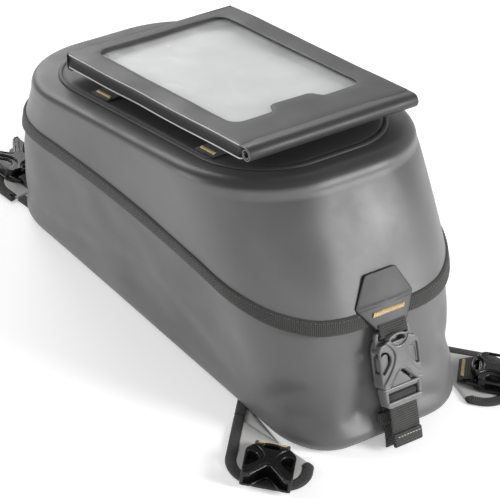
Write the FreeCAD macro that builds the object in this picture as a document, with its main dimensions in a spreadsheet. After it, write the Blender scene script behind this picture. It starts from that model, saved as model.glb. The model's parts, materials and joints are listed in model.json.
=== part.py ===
import FreeCAD, Part
import math
import os
import Sketcher

# Tank bag: a wedge-shaped soft bag with a deep cap lid, a front buckle, four holding wings and a map pouch.
# Frame: +Z up, base panel on Z = 0, X across, -Y towards the rider (tall, buckled end), +Y the shallow end.

SIZES = [
    # main bag, measured as three outlines: the base, a middle level and the lid's shoulder
    ("base_thick", 3, "base panel and wings"),
    ("base_front_half", 76, "base half width, buckle end"),
    ("base_rear_half", 86, "base half width, shallow end"),
    ("base_front_y", -190, "base front edge"),
    ("base_rear_y", 173, "base rear edge"),
    ("base_front_round", 40, "plan corner radius"),
    ("base_rear_round", 36, "plan corner radius"),
    ("mid_front_half", 90.5, "middle level half width, front"),
    ("mid_rear_half", 96, "middle level half width, rear"),
    ("mid_front_y", -168.8, "middle level front, in its own plane"),
    ("mid_rear_y", 171, "middle level rear, in its own plane"),
    ("mid_front_round", 60, "plan corner radius"),
    ("mid_rear_round", 57, "plan corner radius"),
    ("mid_origin_y", 16.5, "middle plane origin"),
    ("mid_origin_z", 76, "middle plane origin"),
    ("mid_tilt", 6.1, "middle plane slope, degrees"),
    ("top_front_half", 95.2, "wall half width at the lid's shoulder, front"),
    ("top_rear_half", 96.5, "wall half width at the lid's shoulder, rear"),
    ("top_front_y", -134.5, "wall front at the shoulder, along the slope"),
    ("top_rear_y", 161.5, "wall rear at the shoulder, along the slope"),
    ("top_front_round", 74.5, "plan corner radius"),
    ("top_rear_round", 72.5, "plan corner radius"),
    ("top_origin_y", 33, "lid plane origin"),
    ("top_origin_z", 152, "lid plane origin"),
    ("top_tilt", 12.2, "lid slope down to the rear, degrees"),
    ("shoulder_round", 11, "edge radius round the lid top"),
    ("wall_thick", 4, "lined bag wall"),
    ("lid_proud", 3.5, "lid outside face beyond the bag wall"),
    ("lid_gap", 0.8, "lid inside face to the bag wall"),
    ("lid_roof", 8, "lid thickness at the top"),
    # the lid's lower edge is an arc seen from the side
    ("edge_front_y", -165, "lid edge arc, front point"),
    ("edge_front_z", 85, "lid edge arc, front point"),
    ("edge_mid_y", 30, "lid edge arc, middle point"),
    ("edge_mid_z", 97, "lid edge arc, middle point"),
    ("edge_rear_y", 190, "lid edge arc, rear point"),
    ("edge_rear_z", 77, "lid edge arc, rear point"),
    ("edge_overlap", 3, "lid edge below the bag wall's top"),
    ("collar_rise", 18, "opening collar above the lid edge"),
    ("collar_inset", 3.2, "opening collar inside the bag wall"),
    ("collar_thick", 2.4, "opening collar"),
    ("binding_width", 11, "woven binding on the lid edge"),
    ("binding_proud", 1.1, "woven binding thickness"),
    ("board_inset", 7, "base board inside the base outline"),
    ("board_thick", 2.5, "base board"),
    ("part_gap", 0.3, "clearance between pieces that touch when sewn or stacked"),
    ("hinge_half", 45, "sewn hinge strip half width"),
    ("hinge_y", 185.8, "hinge strip foot, just outside the rear wall"),
    ("hinge_z", 52, "hinge strip foot"),
    ("hinge_height", 22, "hinge strip"),
    ("hinge_lean", 9, "hinge strip lean, which follows the rear wall, degrees"),
    # lid top
    ("panel_inset", 17, "top panel inside the lid's outline"),
    ("panel_thick", 2.4, "top panel"),
    ("stiffener_inset", 26, "foam stiffener inside the lid"),
    ("stiffener_thick", 4, "foam stiffener"),
    ("cross_half", 74, "cross strap half length"),
    ("cross_width", 20, "cross strap"),
    ("cross_thick", 1.5, "cross strap"),
    ("cross_y", 62, "cross straps from the lid plane's origin, both ways"),
    ("cross_tack_x", 70, "cross strap bartacks from the centre line"),
    ("grip_half", 30, "grip pad half length"),
    ("grip_width", 16, "grip pad"),
    # front closure, in a plane leaning back with the bag's front
    ("closure_y", -162, "closure plane origin"),
    ("closure_z", 84, "closure plane origin"),
    ("closure_lean", 24, "closure plane lean, degrees"),
    ("hex_lean", 30, "hexagon patch lean, degrees"),
    ("hex_half_top", 14, "hexagon top edge"),
    ("hex_half_mid", 26.5, "hexagon widest"),
    ("hex_half_low", 13.5, "hexagon bottom edge"),
    ("hex_height", 40, "hexagon height"),
    ("hex_thick", 1.6, "hexagon patch"),
    ("bartack_length", 28, "zigzag bartack"),
    ("bartack_width", 3, "zigzag bartack"),
    ("bartack_thick", 0.6, "zigzag bartack"),
    ("web_half", 12.5, "25 mm webbing half width"),
    ("web_thick", 1.6, "webbing"),
    # side-release buckles for 25 mm webbing
    ("buckle_half", 18, "buckle half width"),
    ("buckle_neck", 15, "buckle half width at the webbing end"),
    ("buckle_length", 40, "female half length"),
    ("buckle_thick", 11, "buckle thickness"),
    ("buckle_wall", 2, "shell of the female half"),
    ("mouth_half", 14.6, "inside of the mouth"),
    ("mouth_depth", 27, "plug depth"),
    ("plug_play", 0.4, "clearance round the plug"),
    ("male_length", 15, "male half outside the female"),
    ("arm_wide", 4.4, "latch arm"),
    ("arm_length", 24, "latch arm"),
    ("tail_length", 30, "free strap end below the male half"),
    ("tail_fold", 9, "sewn double end of the strap"),
    ("tail_low", 1.2, "strap behind the male half's bar"),
    ("strap_start", 40, "fixed strap, from the top of the buckle"),
    ("strap_end", 87, "fixed strap, from the top of the buckle"),
    ("strap_low", -2.1, "fixed strap's back, from the buckle's back"),
    ("keeper_start", 60, "webbing keeper, from the top of the buckle"),
    ("keeper_width", 9, "webbing keeper"),
    ("latch_inner", 8.4, "inside of a latch arm"),
    ("latch_outer", 12.8, "outside of a latch arm"),
    ("latch_pad", 16.6, "face of the press pad"),
    # holding wings
    ("front_wing_root", -9.2, "front wing root edge on the wing's centre line"),
    ("front_wing_skew", 0.632, "slope of the front wing's root edge, which follows the bag's side"),
    ("rear_wing_root", 0, "rear wing root edge"),
    ("rear_wing_skew", 0, "slope of the rear wing's root edge"),
    ("wing_thick", 2.4, "wing pad"),
    ("wing_edge_thick", 3.2, "wing with its woven edge"),
    ("wing_half", 31, "wing half width"),
    ("wing_round", 25, "wing end corner radius"),
    ("wing_binding", 5, "black woven edge of a wing"),
    ("front_wing_x", 86, "front wing centre"),
    ("front_wing_y", -157, "front wing centre"),
    ("front_wing_angle", 45, "front wing direction from -Y, degrees"),
    ("front_wing_length", 43, "front wing beyond its centre point"),
    ("rear_wing_x", 54, "rear wing centre"),
    ("rear_wing_y", 177, "rear wing hinge line"),
    ("rear_wing_angle", 8, "rear wing direction from +Y, degrees"),
    ("rear_wing_length", 36, "rear wing beyond its hinge line"),
    ("front_buckle_start", 6.5, "front wing buckle's webbing end from the wing centre"),
    ("rear_buckle_start", 8.8, "rear wing buckle's webbing end from the wing centre"),
    ("buckle_rest", 3.5, "wing buckle's back above the wing's underside"),
    ("tab_reach", 6, "webbing tab behind a wing buckle"),
    # map pouch, on the lid's slope
    ("pouch_half_width", 76, "pouch"),
    ("pouch_half_length", 103, "pouch"),
    ("pouch_x", 6, "pouch centre"),
    ("pouch_y", 4.5, "pouch centre along the slope"),
    ("pouch_low", 10, "underside above the lid"),
    ("pouch_high", 20, "frame underside above the lid"),
    ("pouch_sheet", 1.1, "pouch sheets"),
    ("window_half_width", 58, "window"),
    ("window_front", 72, "window edge towards the rider"),
    ("window_rear", 92, "window edge towards the shallow end"),
    ("window_tab_half", 24, "tab in the window's front edge"),
    ("window_tab_tip", 17, "tab's narrow end"),
    ("window_tab_length", 10, "tab"),
    ("film_thick", 0.4, "clear film"),
    ("film_lap", 4, "film behind the frame"),
    ("gusset_thick", 1.6, "pouch side walls"),
    ("backing_inset", 6, "pale backing inside the pouch edge"),
    ("backing_thick", 0.5, "pale backing"),
    ("flap_gap", 0.4, "rear flap behind the pouch"),
    ("flap_thick", 1.2, "rear flap"),
    ("flap_drop", 1.5, "rear flap below the pouch"),
    ("roll_radius", 5.5, "rolled front end of the pouch"),
]

doc = FreeCAD.newDocument("tank_bag")
sheet = doc.addObject("Spreadsheet::Sheet", "Sizes")
for row, (alias, value, note) in enumerate(SIZES, start=1):
    sheet.set("A%d" % row, alias)
    sheet.set("B%d" % row, str(value))
    sheet.set("C%d" % row, note)
    sheet.setAlias("B%d" % row, alias)
doc.recompute()


class Size:
    """A number together with the sheet expression it comes from."""

    def __init__(self, value, text):
        self.value = float(value)
        self.text = text

    def _with(self, other, sign):
        other = other if isinstance(other, Size) else Size(other, repr(float(other)))
        results = {"+": self.value + other.value, "-": self.value - other.value, "*": self.value * other.value}
        return Size(results[sign], "(%s %s %s)" % (self.text, sign, other.text))

    def __add__(self, other):
        return self._with(other, "+")

    def __sub__(self, other):
        return self._with(other, "-")

    def __mul__(self, other):
        return self._with(other, "*")

    def __neg__(self):
        return Size(-self.value, "(0 - %s)" % self.text)


def size(alias):
    return Size(sheet.get(alias), "Sizes." + alias)


def number(value):
    return value if isinstance(value, Size) else Size(value, repr(float(value)))


PARTS = []


def body(label):
    made = doc.addObject("PartDesign::Body", label)
    made.Label = label
    PARTS.append(made)
    return made


def origin_plane(owner, role):
    return [item for item in owner.Origin.OriginFeatures if item.Role == role][0]


def new_sketch(owner, name, role="XY_Plane", height=0):
    sketch = owner.newObject("Sketcher::SketchObject", name)
    sketch.AttachmentSupport = [(origin_plane(owner, role), "")]
    sketch.MapMode = "FlatFace"
    sketch.setExpression("AttachmentOffset.Base.z", number(height).text)
    return sketch


def pin_down(sketch, geometry, point, x, y):
    """Fix one sketch point at sheet-driven coordinates."""
    for kind, coordinate in (("DistanceX", x), ("DistanceY", y)):
        coordinate = number(coordinate)
        index = sketch.addConstraint(
            Sketcher.Constraint(kind, -1, 1, geometry, point, coordinate.value))
        sketch.setExpression("Constraints[%d]" % index, coordinate.text)


def vector(point):
    return FreeCAD.Vector(number(point[0]).value, number(point[1]).value, 0)


def polygon(sketch, corners):
    """Closed polygon whose corners are pairs of sizes."""
    first = sketch.GeometryCount
    count = len(corners)
    for index in range(count):
        sketch.addGeometry(Part.LineSegment(vector(corners[index]), vector(corners[(index + 1) % count])))
    for index in range(count):
        following = first + (index + 1) % count
        sketch.addConstraint(Sketcher.Constraint("Coincident", first + index, 2, following, 1))
        pin_down(sketch, first + index, 1, *corners[index])


def rounded_outline(sketch, front_half, rear_half, front_y, rear_y, front_round, rear_round):
    """Outline with a quarter circle at each corner; the halves may differ front to rear."""
    corners = [
        ((-front_half, front_y + front_round), (-front_half + front_round, front_y),
         (-front_half + front_round, front_y + front_round), front_round, 180),
        ((front_half - front_round, front_y), (front_half, front_y + front_round),
         (front_half - front_round, front_y + front_round), front_round, 270),
        ((rear_half, rear_y - rear_round), (rear_half - rear_round, rear_y),
         (rear_half - rear_round, rear_y - rear_round), rear_round, 0),
        ((-rear_half + rear_round, rear_y), (-rear_half, rear_y - rear_round),
         (-rear_half + rear_round, rear_y - rear_round), rear_round, 90),
    ]
    first = sketch.GeometryCount
    for index, (start, end, centre, radius, angle) in enumerate(corners):
        circle = Part.Circle(vector(centre), FreeCAD.Vector(0, 0, 1), radius.value)
        sketch.addGeometry(Part.ArcOfCircle(circle, math.radians(angle), math.radians(angle + 90)))
        following = corners[(index + 1) % 4][0]
        sketch.addGeometry(Part.LineSegment(vector(end), vector(following)))
    for index, (start, end, centre, radius, angle) in enumerate(corners):
        arc = first + 2 * index
        side = arc + 1
        following_arc = first + (2 * index + 2) % 8
        sketch.addConstraint(Sketcher.Constraint("Coincident", arc, 2, side, 1))
        sketch.addConstraint(Sketcher.Constraint("Coincident", side, 2, following_arc, 1))
        pin_down(sketch, arc, 3, *centre)
        pin_down(sketch, arc, 2, *end)
        # the start lies a quarter turn back, so only the coordinate that turns with the arc is fixed
        kind, coordinate = ("DistanceX", start[0]) if index % 2 else ("DistanceY", start[1])
        turn = sketch.addConstraint(Sketcher.Constraint(kind, -1, 1, arc, 1, coordinate.value))
        sketch.setExpression("Constraints[%d]" % turn, coordinate.text)


def pad(owner, name, sketch, length, both_ways=False):
    feature = owner.newObject("PartDesign::Pad", name)
    feature.Profile = sketch
    feature.setExpression("Length", number(length).text)
    feature.Midplane = both_ways
    return feature


def pocket(owner, name, sketch, length=None, both_ways=False):
    """Cut by a length against the sketch normal, or right through both ways."""
    feature = owner.newObject("PartDesign::Pocket", name)
    feature.Profile = sketch
    if length is None:
        feature.Type = 1
        feature.Midplane = True
    else:
        feature.setExpression("Length", number(length).text)
        feature.Midplane = both_ways
    return feature


def plate(label, corners, thick, height=0):
    made = body(label)
    sketch = new_sketch(made, label + "_outline", height=height)
    polygon(sketch, corners)
    pad(made, label + "_pad", sketch, thick)
    return made


def rectangle(half_x, low_y, high_y, centre_x=0):
    half_x, low_y, high_y, centre_x = map(number, (half_x, low_y, high_y, centre_x))
    left = centre_x - half_x
    right = centre_x + half_x
    return [(left, low_y), (right, low_y), (right, high_y), (left, high_y)]


def place(owner, x=0, y=0, z=0, axis=(1, 0, 0), angle=0):
    """Put a body in the bag's frame; the angle about the axis is positive."""
    angle = number(angle)
    owner.Placement = FreeCAD.Placement(FreeCAD.Vector(0, 0, 0), FreeCAD.Rotation(FreeCAD.Vector(*axis), angle.value))
    owner.setExpression("Placement.Rotation.Angle", angle.text)
    for name, value in (("x", x), ("y", y), ("z", z)):
        owner.setExpression("Placement.Base." + name, number(value).text)
    return owner


def cosine(alias):
    return Size(math.cos(math.radians(sheet.get(alias))), "cos(Sizes.%s * 1 deg)" % alias)


def sine(alias):
    return Size(math.sin(math.radians(sheet.get(alias))), "sin(Sizes.%s * 1 deg)" % alias)


def side_profile(label, corners, half_width):
    """Solid drawn from the side, as wide as two half widths."""
    made = body(label)
    sketch = new_sketch(made, label + "_outline", role="YZ_Plane")
    polygon(sketch, corners)
    pad(made, label + "_pad", sketch, number(half_width) * 2, both_ways=True)
    return made


def add_plate(owner, name, corners, thick, height=0):
    sketch = new_sketch(owner, name + "_outline", height=height)
    polygon(sketch, corners)
    return pad(owner, name, sketch, thick)


def cut_plate(owner, name, corners):
    sketch = new_sketch(owner, name + "_outline")
    polygon(sketch, corners)
    return pocket(owner, name, sketch)


# ---------------------------------------------------------------- bag shells

LEVELS = ("base", "mid", "top")
ARC_OVERRUN = 0.32    # radians of the lid-edge arc past its end points
BEYOND_BAG = 400      # cutting sketches reach this far, clear of the bag
SHOULDER_STEPS = 3
OPEN_BELOW = 5        # cutting lofts start this far past the face they open


def bag_outline(owner, name, level, grow, drop):
    """One outline of the bag at a level, grown outwards by grow and lowered along its normal by drop."""
    sketch = new_sketch(owner, name)
    grow = number(grow)
    rounded_outline(
        sketch,
        size(level + "_front_half") + grow,
        size(level + "_rear_half") + grow,
        size(level + "_front_y") - grow,
        size(level + "_rear_y") + grow,
        size(level + "_front_round") + grow,
        size(level + "_rear_round") + grow)
    drop = number(drop)
    if level == "base":
        sketch.setExpression("AttachmentOffset.Base.z", (size("base_thick") - drop).text)
        return sketch
    tilt = math.radians(sheet.get(level + "_tilt"))
    sketch.AttachmentOffset = FreeCAD.Placement(
        FreeCAD.Vector(0, 0, 0), FreeCAD.Rotation(FreeCAD.Vector(-1, 0, 0), math.degrees(tilt)))
    sketch.setExpression("AttachmentOffset.Rotation.Angle", "Sizes.%s_tilt" % level)
    lean = "Sizes.%s_tilt * 1 deg" % level
    sketch.setExpression(
        "AttachmentOffset.Base.y", "Sizes.%s_origin_y - %s * sin(%s)" % (level, drop.text, lean))
    sketch.setExpression(
        "AttachmentOffset.Base.z", "Sizes.%s_origin_z - %s * cos(%s)" % (level, drop.text, lean))
    return sketch


def bag_loft(owner, name, grows, drops=(0, 0, 0), cut=False):
    outlines = [
        bag_outline(owner, "%s_%s" % (name, level), level, grow, drop)
        for level, grow, drop in zip(LEVELS, grows, drops)]
    kind = "PartDesign::SubtractiveLoft" if cut else "PartDesign::AdditiveLoft"
    feature = owner.newObject(kind, name)
    feature.Profile = outlines[0]
    feature.Sections = outlines[1:]
    return feature


def edge_cut(owner, name, rise, above):
    """Remove everything above (or below) the lid-edge arc raised by rise."""
    rise = number(rise)
    points = [(size("edge_%s_y" % spot), size("edge_%s_z" % spot) + rise) for spot in ("front", "mid", "rear")]
    sketch = new_sketch(owner, name + "_outline", role="YZ_Plane")
    arc = Part.Arc(*[vector(point) for point in points])
    circle = arc.toShape().Curve
    start_angle, end_angle = sorted(
        math.atan2(p.y - circle.Center.y, p.x - circle.Center.x) for p in (vector(points[0]), vector(points[2])))
    # the arc runs anticlockwise from the rear point to the front point, and on past both ends of the bag
    full = Part.Circle(circle.Center, FreeCAD.Vector(0, 0, 1), circle.Radius)
    curve = Part.ArcOfCircle(full, start_angle - ARC_OVERRUN, end_angle + ARC_OVERRUN)
    sketch.addGeometry(curve)
    rear_end, front_end = curve.StartPoint, curve.EndPoint
    far = BEYOND_BAG if above else -BEYOND_BAG
    corners = [front_end, FreeCAD.Vector(front_end.x, far, 0), FreeCAD.Vector(rear_end.x, far, 0), rear_end]
    for begin, finish in zip(corners, corners[1:]):
        sketch.addGeometry(Part.LineSegment(begin, finish))
    for point in points:
        spot = sketch.addGeometry(Part.Point(vector(point)), True)
        pin_down(sketch, spot, 1, *point)
        sketch.addConstraint(Sketcher.Constraint("PointOnObject", spot, 1, 0))
    sketch.addConstraint(Sketcher.Constraint("Coincident", 0, 2, 1, 1))
    sketch.addConstraint(Sketcher.Constraint("Coincident", 1, 2, 2, 1))
    sketch.addConstraint(Sketcher.Constraint("Coincident", 2, 2, 3, 1))
    sketch.addConstraint(Sketcher.Constraint("Coincident", 3, 2, 0, 1))
    sketch.addConstraint(Sketcher.Constraint("Vertical", 1))
    sketch.addConstraint(Sketcher.Constraint("Horizontal", 2))
    sketch.addConstraint(Sketcher.Constraint("Vertical", 3))
    sketch.addConstraint(Sketcher.Constraint("DistanceX", -1, 1, 0, 2, front_end.x))
    sketch.addConstraint(Sketcher.Constraint("DistanceX", -1, 1, 0, 1, rear_end.x))
    sketch.addConstraint(Sketcher.Constraint("DistanceY", -1, 1, 1, 2, far))
    return pocket(owner, name, sketch)


def build_body_shell():
    shell = body("body_shell")
    bag_loft(shell, "outside", (0, 0, 0))
    edge_cut(shell, "open_top", size("edge_overlap"), above=True)
    inner = -size("wall_thick")
    bag_loft(shell, "inside", (inner, inner, inner), (-size("wall_thick"), 0, 0), cut=True)


def build_collar():
    collar = body("opening_collar")
    outer = -size("collar_inset")
    inner = outer - size("collar_thick")
    bag_loft(collar, "collar_outside", (outer, outer, outer))
    bag_loft(collar, "collar_inside", (inner, inner, inner), (OPEN_BELOW, 0, -OPEN_BELOW), cut=True)
    edge_cut(collar, "collar_foot", size("edge_overlap"), above=False)
    edge_cut(collar, "collar_rim", size("collar_rise"), above=True)


def build_lid_shell():
    lid = body("lid_shell")
    proud = size("lid_proud")
    radius = size("shoulder_round")
    bag_loft(lid, "lid_outside", (proud, proud, proud), (0, 0, radius))
    # the shoulder is a quarter round taken in straight steps
    outlines = []
    for step in range(SHOULDER_STEPS + 1):
        angle = math.pi / 2 * step / SHOULDER_STEPS
        inset = radius * (1 - math.cos(angle))
        drop = radius * (1 - math.sin(angle))
        outlines.append(bag_outline(lid, "shoulder_%d" % step, "top", proud - inset, drop))
    shoulder = lid.newObject("PartDesign::AdditiveLoft", "shoulder")
    shoulder.Profile = outlines[0]
    shoulder.Sections = outlines[1:]
    shoulder.Ruled = True
    edge_cut(lid, "lid_edge", 0, above=False)
    gap = size("lid_gap")
    bag_loft(lid, "lid_inside", (gap, gap, gap), (OPEN_BELOW, 0, size("lid_roof")), cut=True)


def build_lid_binding():
    binding = body("lid_binding")
    proud = size("lid_proud")
    outer = proud + size("binding_proud")
    bag_loft(binding, "binding_outside", (outer, outer, outer), (0, 0, size("shoulder_round")))
    bag_loft(binding, "binding_inside", (proud, proud, proud), (0, 0, size("shoulder_round")), cut=True)
    edge_cut(binding, "binding_low", 0, above=False)
    edge_cut(binding, "binding_high", size("binding_width"), above=True)


EAR_SHOULDER = 1      # straight part of a base panel ear, from the wing's root
EAR_DEPTH = 30        # ear reaching in under the bag
EAR_TAPER = 0.8       # ear's inner width against the wing's


def build_base():
    panel = body("base_panel")
    sketch = new_sketch(panel, "panel_outline")
    rounded_outline(sketch, *[size("base_" + side) for side in (
        "front_half", "rear_half", "front_y", "rear_y", "front_round", "rear_round")])
    pad(panel, "panel", sketch, size("base_thick"))
    # ears carry the panel out to each wing's root
    half = size("wing_half")
    short_of_wing = size("part_gap") * 2
    for side in (-1, 1):
        for end in ("front", "rear"):
            ear = [wing_point(end, side, -half, wing_root(end, -half) - short_of_wing),
                   wing_point(end, side, half, wing_root(end, half) - short_of_wing),
                   wing_point(end, side, half, wing_root(end, half) - EAR_SHOULDER),
                   wing_point(end, side, half * EAR_TAPER, wing_root(end, 0) - EAR_DEPTH),
                   wing_point(end, side, -half * EAR_TAPER, wing_root(end, 0) - EAR_DEPTH),
                   wing_point(end, side, -half, wing_root(end, -half) - EAR_SHOULDER)]
            add_plate(panel, "ear_%s_%d" % (end, side + 1), ear, size("base_thick"))

    board = body("base_board")
    inset = size("board_inset")
    sketch = new_sketch(board, "board_outline", height=size("base_thick") + size("wall_thick") + size("part_gap"))
    rounded_outline(
        sketch, size("base_front_half") - inset, size("base_rear_half") - inset,
        size("base_front_y") + inset, size("base_rear_y") - inset,
        size("base_front_round") - inset, size("base_rear_round") - inset)
    pad(board, "board", sketch, size("board_thick"))


# ---------------------------------------------------------------- lid top

def lid_point(y, z):
    """Bag-frame Y and Z of a point given on the lid's slope."""
    y, z = number(y), number(z)
    lean_cos, lean_sin = cosine("top_tilt"), sine("top_tilt")
    return (size("top_origin_y") + y * lean_cos + z * lean_sin,
            size("top_origin_z") - y * lean_sin + z * lean_cos)


def on_lid(owner, x=0, y=0, z=0):
    spot_y, spot_z = lid_point(y, z)
    return place(owner, x, spot_y, spot_z, (-1, 0, 0), size("top_tilt"))


def lid_slab(label, inset, thick, height):
    slab = body(label)
    sketch = new_sketch(slab, label + "_outline")
    inset = size(inset)
    rounded_outline(
        sketch, size("top_front_half") - inset, size("top_rear_half") - inset,
        size("top_front_y") + inset, size("top_rear_y") - inset,
        size("top_front_round") - inset, size("top_rear_round") - inset)
    pad(slab, label + "_pad", sketch, thick)
    return on_lid(slab, z=height)


STRAP_ROWS = (-size("cross_y"), size("cross_y"))
SKIN_GAP = 0.05       # stacked sheets stop this far short of each other
TACK_MARGIN = 2       # bartack ends inside the webbing's edge


def build_lid_top():
    lid_slab("lid_top_panel", "panel_inset", size("panel_thick"), SKIN_GAP)
    lid_slab("lid_stiffener", "stiffener_inset", size("stiffener_thick"),
             -size("lid_roof") - size("stiffener_thick") - size("part_gap"))
    straps = body("lid_cross_straps")
    tacks = body("lid_cross_bartacks")
    half_width = size("cross_width") * 0.5
    half_tack = half_width - TACK_MARGIN
    for row, y in enumerate(STRAP_ROWS):
        add_plate(straps, "cross_strap_%d" % row, rectangle(size("cross_half"), y - half_width, y + half_width),
                  size("cross_thick"))
        for side, centre in (("left", -size("cross_tack_x")), ("right", size("cross_tack_x"))):
            add_plate(tacks, "tack_%s_%d" % (side, row),
                      rectangle(size("bartack_width") * 0.5, y - half_tack, y + half_tack, centre),
                      size("bartack_thick"), size("cross_thick") + SKIN_GAP)
    for owner in (straps, tacks):
        owner.AllowCompound = True
        on_lid(owner, z=size("panel_thick") + SKIN_GAP * 2)


HINGE_THICK = 1


def build_hinge_strip():
    """Sewn strip across the rear wall under the lid's rear edge, where the lid turns."""
    strip = body("lid_hinge_strip")
    add_plate(strip, "strip", rectangle(size("hinge_half"), 0, HINGE_THICK), size("hinge_height"))
    place(strip, 0, size("hinge_y"), size("hinge_z"), (-1, 0, 0), size("hinge_lean"))


# ---------------------------------------------------------------- buckles and closure

NECK_END = 6.2        # webbing slot end, from the webbing end of the buckle
SLOT_START = 2.6
BAR_LOW = 2.0
BAR_HIGH = 5.0
SHOULDER = 10         # where the buckle reaches its full width
RAMP_END = 12         # where the neck's ramp reaches the buckle's full height
WINDOW_FAR = 26       # side window, from the mouth
WINDOW_NEAR = 12
MOUTH_HALF = 9        # V cut at the mouth
MOUTH_DEPTH = 9
WEB_PLAY = 0.5        # webbing slot beyond the webbing, each side
PAST = 1              # cutting outlines reach this far past a face


def build_female(label):
    """Female half of a side-release buckle: webbing end at y = 0, mouth at the far end."""
    shell = body(label)
    length, half, neck = size("buckle_length"), size("buckle_half"), size("buckle_neck")
    add_plate(shell, label + "_block", [
        (-neck, 0), (neck, 0), (half, SHOULDER), (half, length), (-half, length), (-half, SHOULDER)],
        size("buckle_thick"))
    cut_plate(shell, label + "_slot", rectangle(size("web_half") + WEB_PLAY, SLOT_START, NECK_END))
    side = new_sketch(shell, label + "_neck_outline", role="YZ_Plane")
    over = size("buckle_thick") + PAST
    polygon(side, [(-PAST, BAR_HIGH), (NECK_END, BAR_HIGH), (RAMP_END, over), (-PAST, over)])
    pocket(shell, label + "_neck", side)
    under = new_sketch(shell, label + "_under_outline", role="YZ_Plane")
    polygon(under, [(-PAST, -PAST), (NECK_END, -PAST), (NECK_END, BAR_LOW), (-PAST, BAR_LOW)])
    pocket(shell, label + "_under", under)
    wall = size("buckle_wall")
    cavity = new_sketch(shell, label + "_cavity_outline", role="YZ_Plane")
    ceiling = size("buckle_thick") - wall
    deep = length - size("mouth_depth")
    polygon(cavity, [(deep, wall), (length + PAST, wall), (length + PAST, ceiling), (deep, ceiling)])
    pocket(shell, label + "_cavity", cavity, size("mouth_half") * 2, both_ways=True)
    window = new_sketch(shell, label + "_window_outline", role="YZ_Plane")
    far, near = length - WINDOW_FAR, length - WINDOW_NEAR
    polygon(window, [(far, wall), (near, wall), (near, ceiling), (far, ceiling)])
    pocket(shell, label + "_window", window)
    cut_plate(shell, label + "_mouth", [
        (-MOUTH_HALF, length + PAST), (MOUTH_HALF, length + PAST), (0, length - MOUTH_DEPTH)])
    return shell


FOLD_LOW = 0.1        # webbing round a bar, above the buckle's back
FOLD_GAP = 0.3        # between the webbing and the bar


def build_fold(label, reach):
    """Webbing folded round a buckle's bar, reaching back from the webbing end."""
    thick = size("web_thick")
    low = number(FOLD_LOW)
    turn = number(SLOT_START + FOLD_GAP)
    high = number(BAR_HIGH + FOLD_GAP)
    back = -number(reach)
    return side_profile(label, [
        (back, low), (turn + thick, low), (turn + thick, high + thick), (back, high + thick),
        (back, high), (turn, high), (turn, low + thick), (back, low + thick)], size("web_half"))


MALE_LOW = 1          # male block, from the buckle's back
MALE_THICK = 9
MALE_NARROWER = 1     # male block narrower than the female half, each side
MALE_TAPER = 1.5
SLOT_BACK = 5         # webbing slot, from the mouth
SLOT_FRONT = 9.5
BAR_TOP = 6           # top of the male half's bar
GUIDE_HALF = 2.6      # centre guide of the plug
GUIDE_ROOT = 3
GUIDE_TIP = 16        # guide's tip, from the top of the buckle
GUIDE_LOW = 3.5
GUIDE_THICK = 4
TAIL_LIFT = 0.4       # webbing above the bar
DOUBLE_GAP = 0.2      # between the layers of the sewn double end


def build_male(label, tail_label):
    """Male half in the female's frame: body beyond the mouth, guide and webbing slot."""
    male = body(label)
    mouth = size("buckle_length") + size("part_gap")
    far = mouth + size("male_length")
    half = size("buckle_half") - MALE_NARROWER
    add_plate(male, label + "_block", [
        (-half, mouth), (half, mouth), (half - MALE_TAPER, far), (-half + MALE_TAPER, far)], MALE_THICK, MALE_LOW)
    add_plate(male, label + "_guide", [
        (-GUIDE_HALF, GUIDE_TIP), (GUIDE_HALF, GUIDE_TIP), (GUIDE_ROOT, mouth + PAST), (-GUIDE_ROOT, mouth + PAST)],
        GUIDE_THICK, GUIDE_LOW)
    cut_plate(male, label + "_slot", rectangle(size("web_half") + WEB_PLAY, mouth + SLOT_BACK, mouth + SLOT_FRONT))
    side = new_sketch(male, label + "_bar_outline", role="YZ_Plane")
    behind_slot = mouth + SLOT_BACK - TAIL_LIFT * 0.25
    above = MALE_LOW + MALE_THICK + PAST
    polygon(side, [(behind_slot, BAR_TOP), (far + PAST, BAR_TOP), (far + PAST, above), (behind_slot, above)])
    pocket(male, label + "_bar", side)

    start = mouth + SLOT_BACK + FOLD_GAP
    thick = size("web_thick")
    end = far + size("tail_length")
    double = end - size("tail_fold")
    low = size("tail_low")
    front = number(BAR_TOP + TAIL_LIFT)
    outer = front + thick
    doubled = outer + thick + DOUBLE_GAP
    side_profile(tail_label, [
        (start, low), (start + thick, low), (start + thick, front), (end, front), (end, doubled),
        (double, doubled), (double, outer), (start, outer)], size("web_half"))


LATCH_THICK = 5.2
LATCH_LOW = 2.9       # latch arm, from the buckle's back
PAD_START = 18        # press pad, from the top of the buckle
PAD_END = 26
RAMP_FOOT = 28.6      # where the pad's shoulder meets the arm
TIP_TAPER = 0.4


def build_latch(label, side):
    """One sprung arm of the male half, with its press pad in the female's side window."""
    inner, outer, pad_out = size("latch_inner"), size("latch_outer"), size("latch_pad")
    root = size("buckle_length") - size("plug_play")
    tip = root - size("arm_length")
    points = [(inner, root), (outer, root), (outer, RAMP_FOOT), (pad_out, PAD_END), (pad_out, PAD_START),
              (outer - TIP_TAPER, tip), (inner + TIP_TAPER, tip)]
    corners = [(x * side, y) for x, y in points]
    return plate(label, corners, LATCH_THICK, LATCH_LOW)


def closure_point(v, n):
    """Bag-frame Y and Z of a point v up the closure plane and n out of it."""
    v, n = number(v), number(n)
    lean_cos, lean_sin = cosine("closure_lean"), sine("closure_lean")
    return (size("closure_y") + v * lean_sin - n * lean_cos,
            size("closure_z") + v * lean_cos + n * lean_sin)


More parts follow.
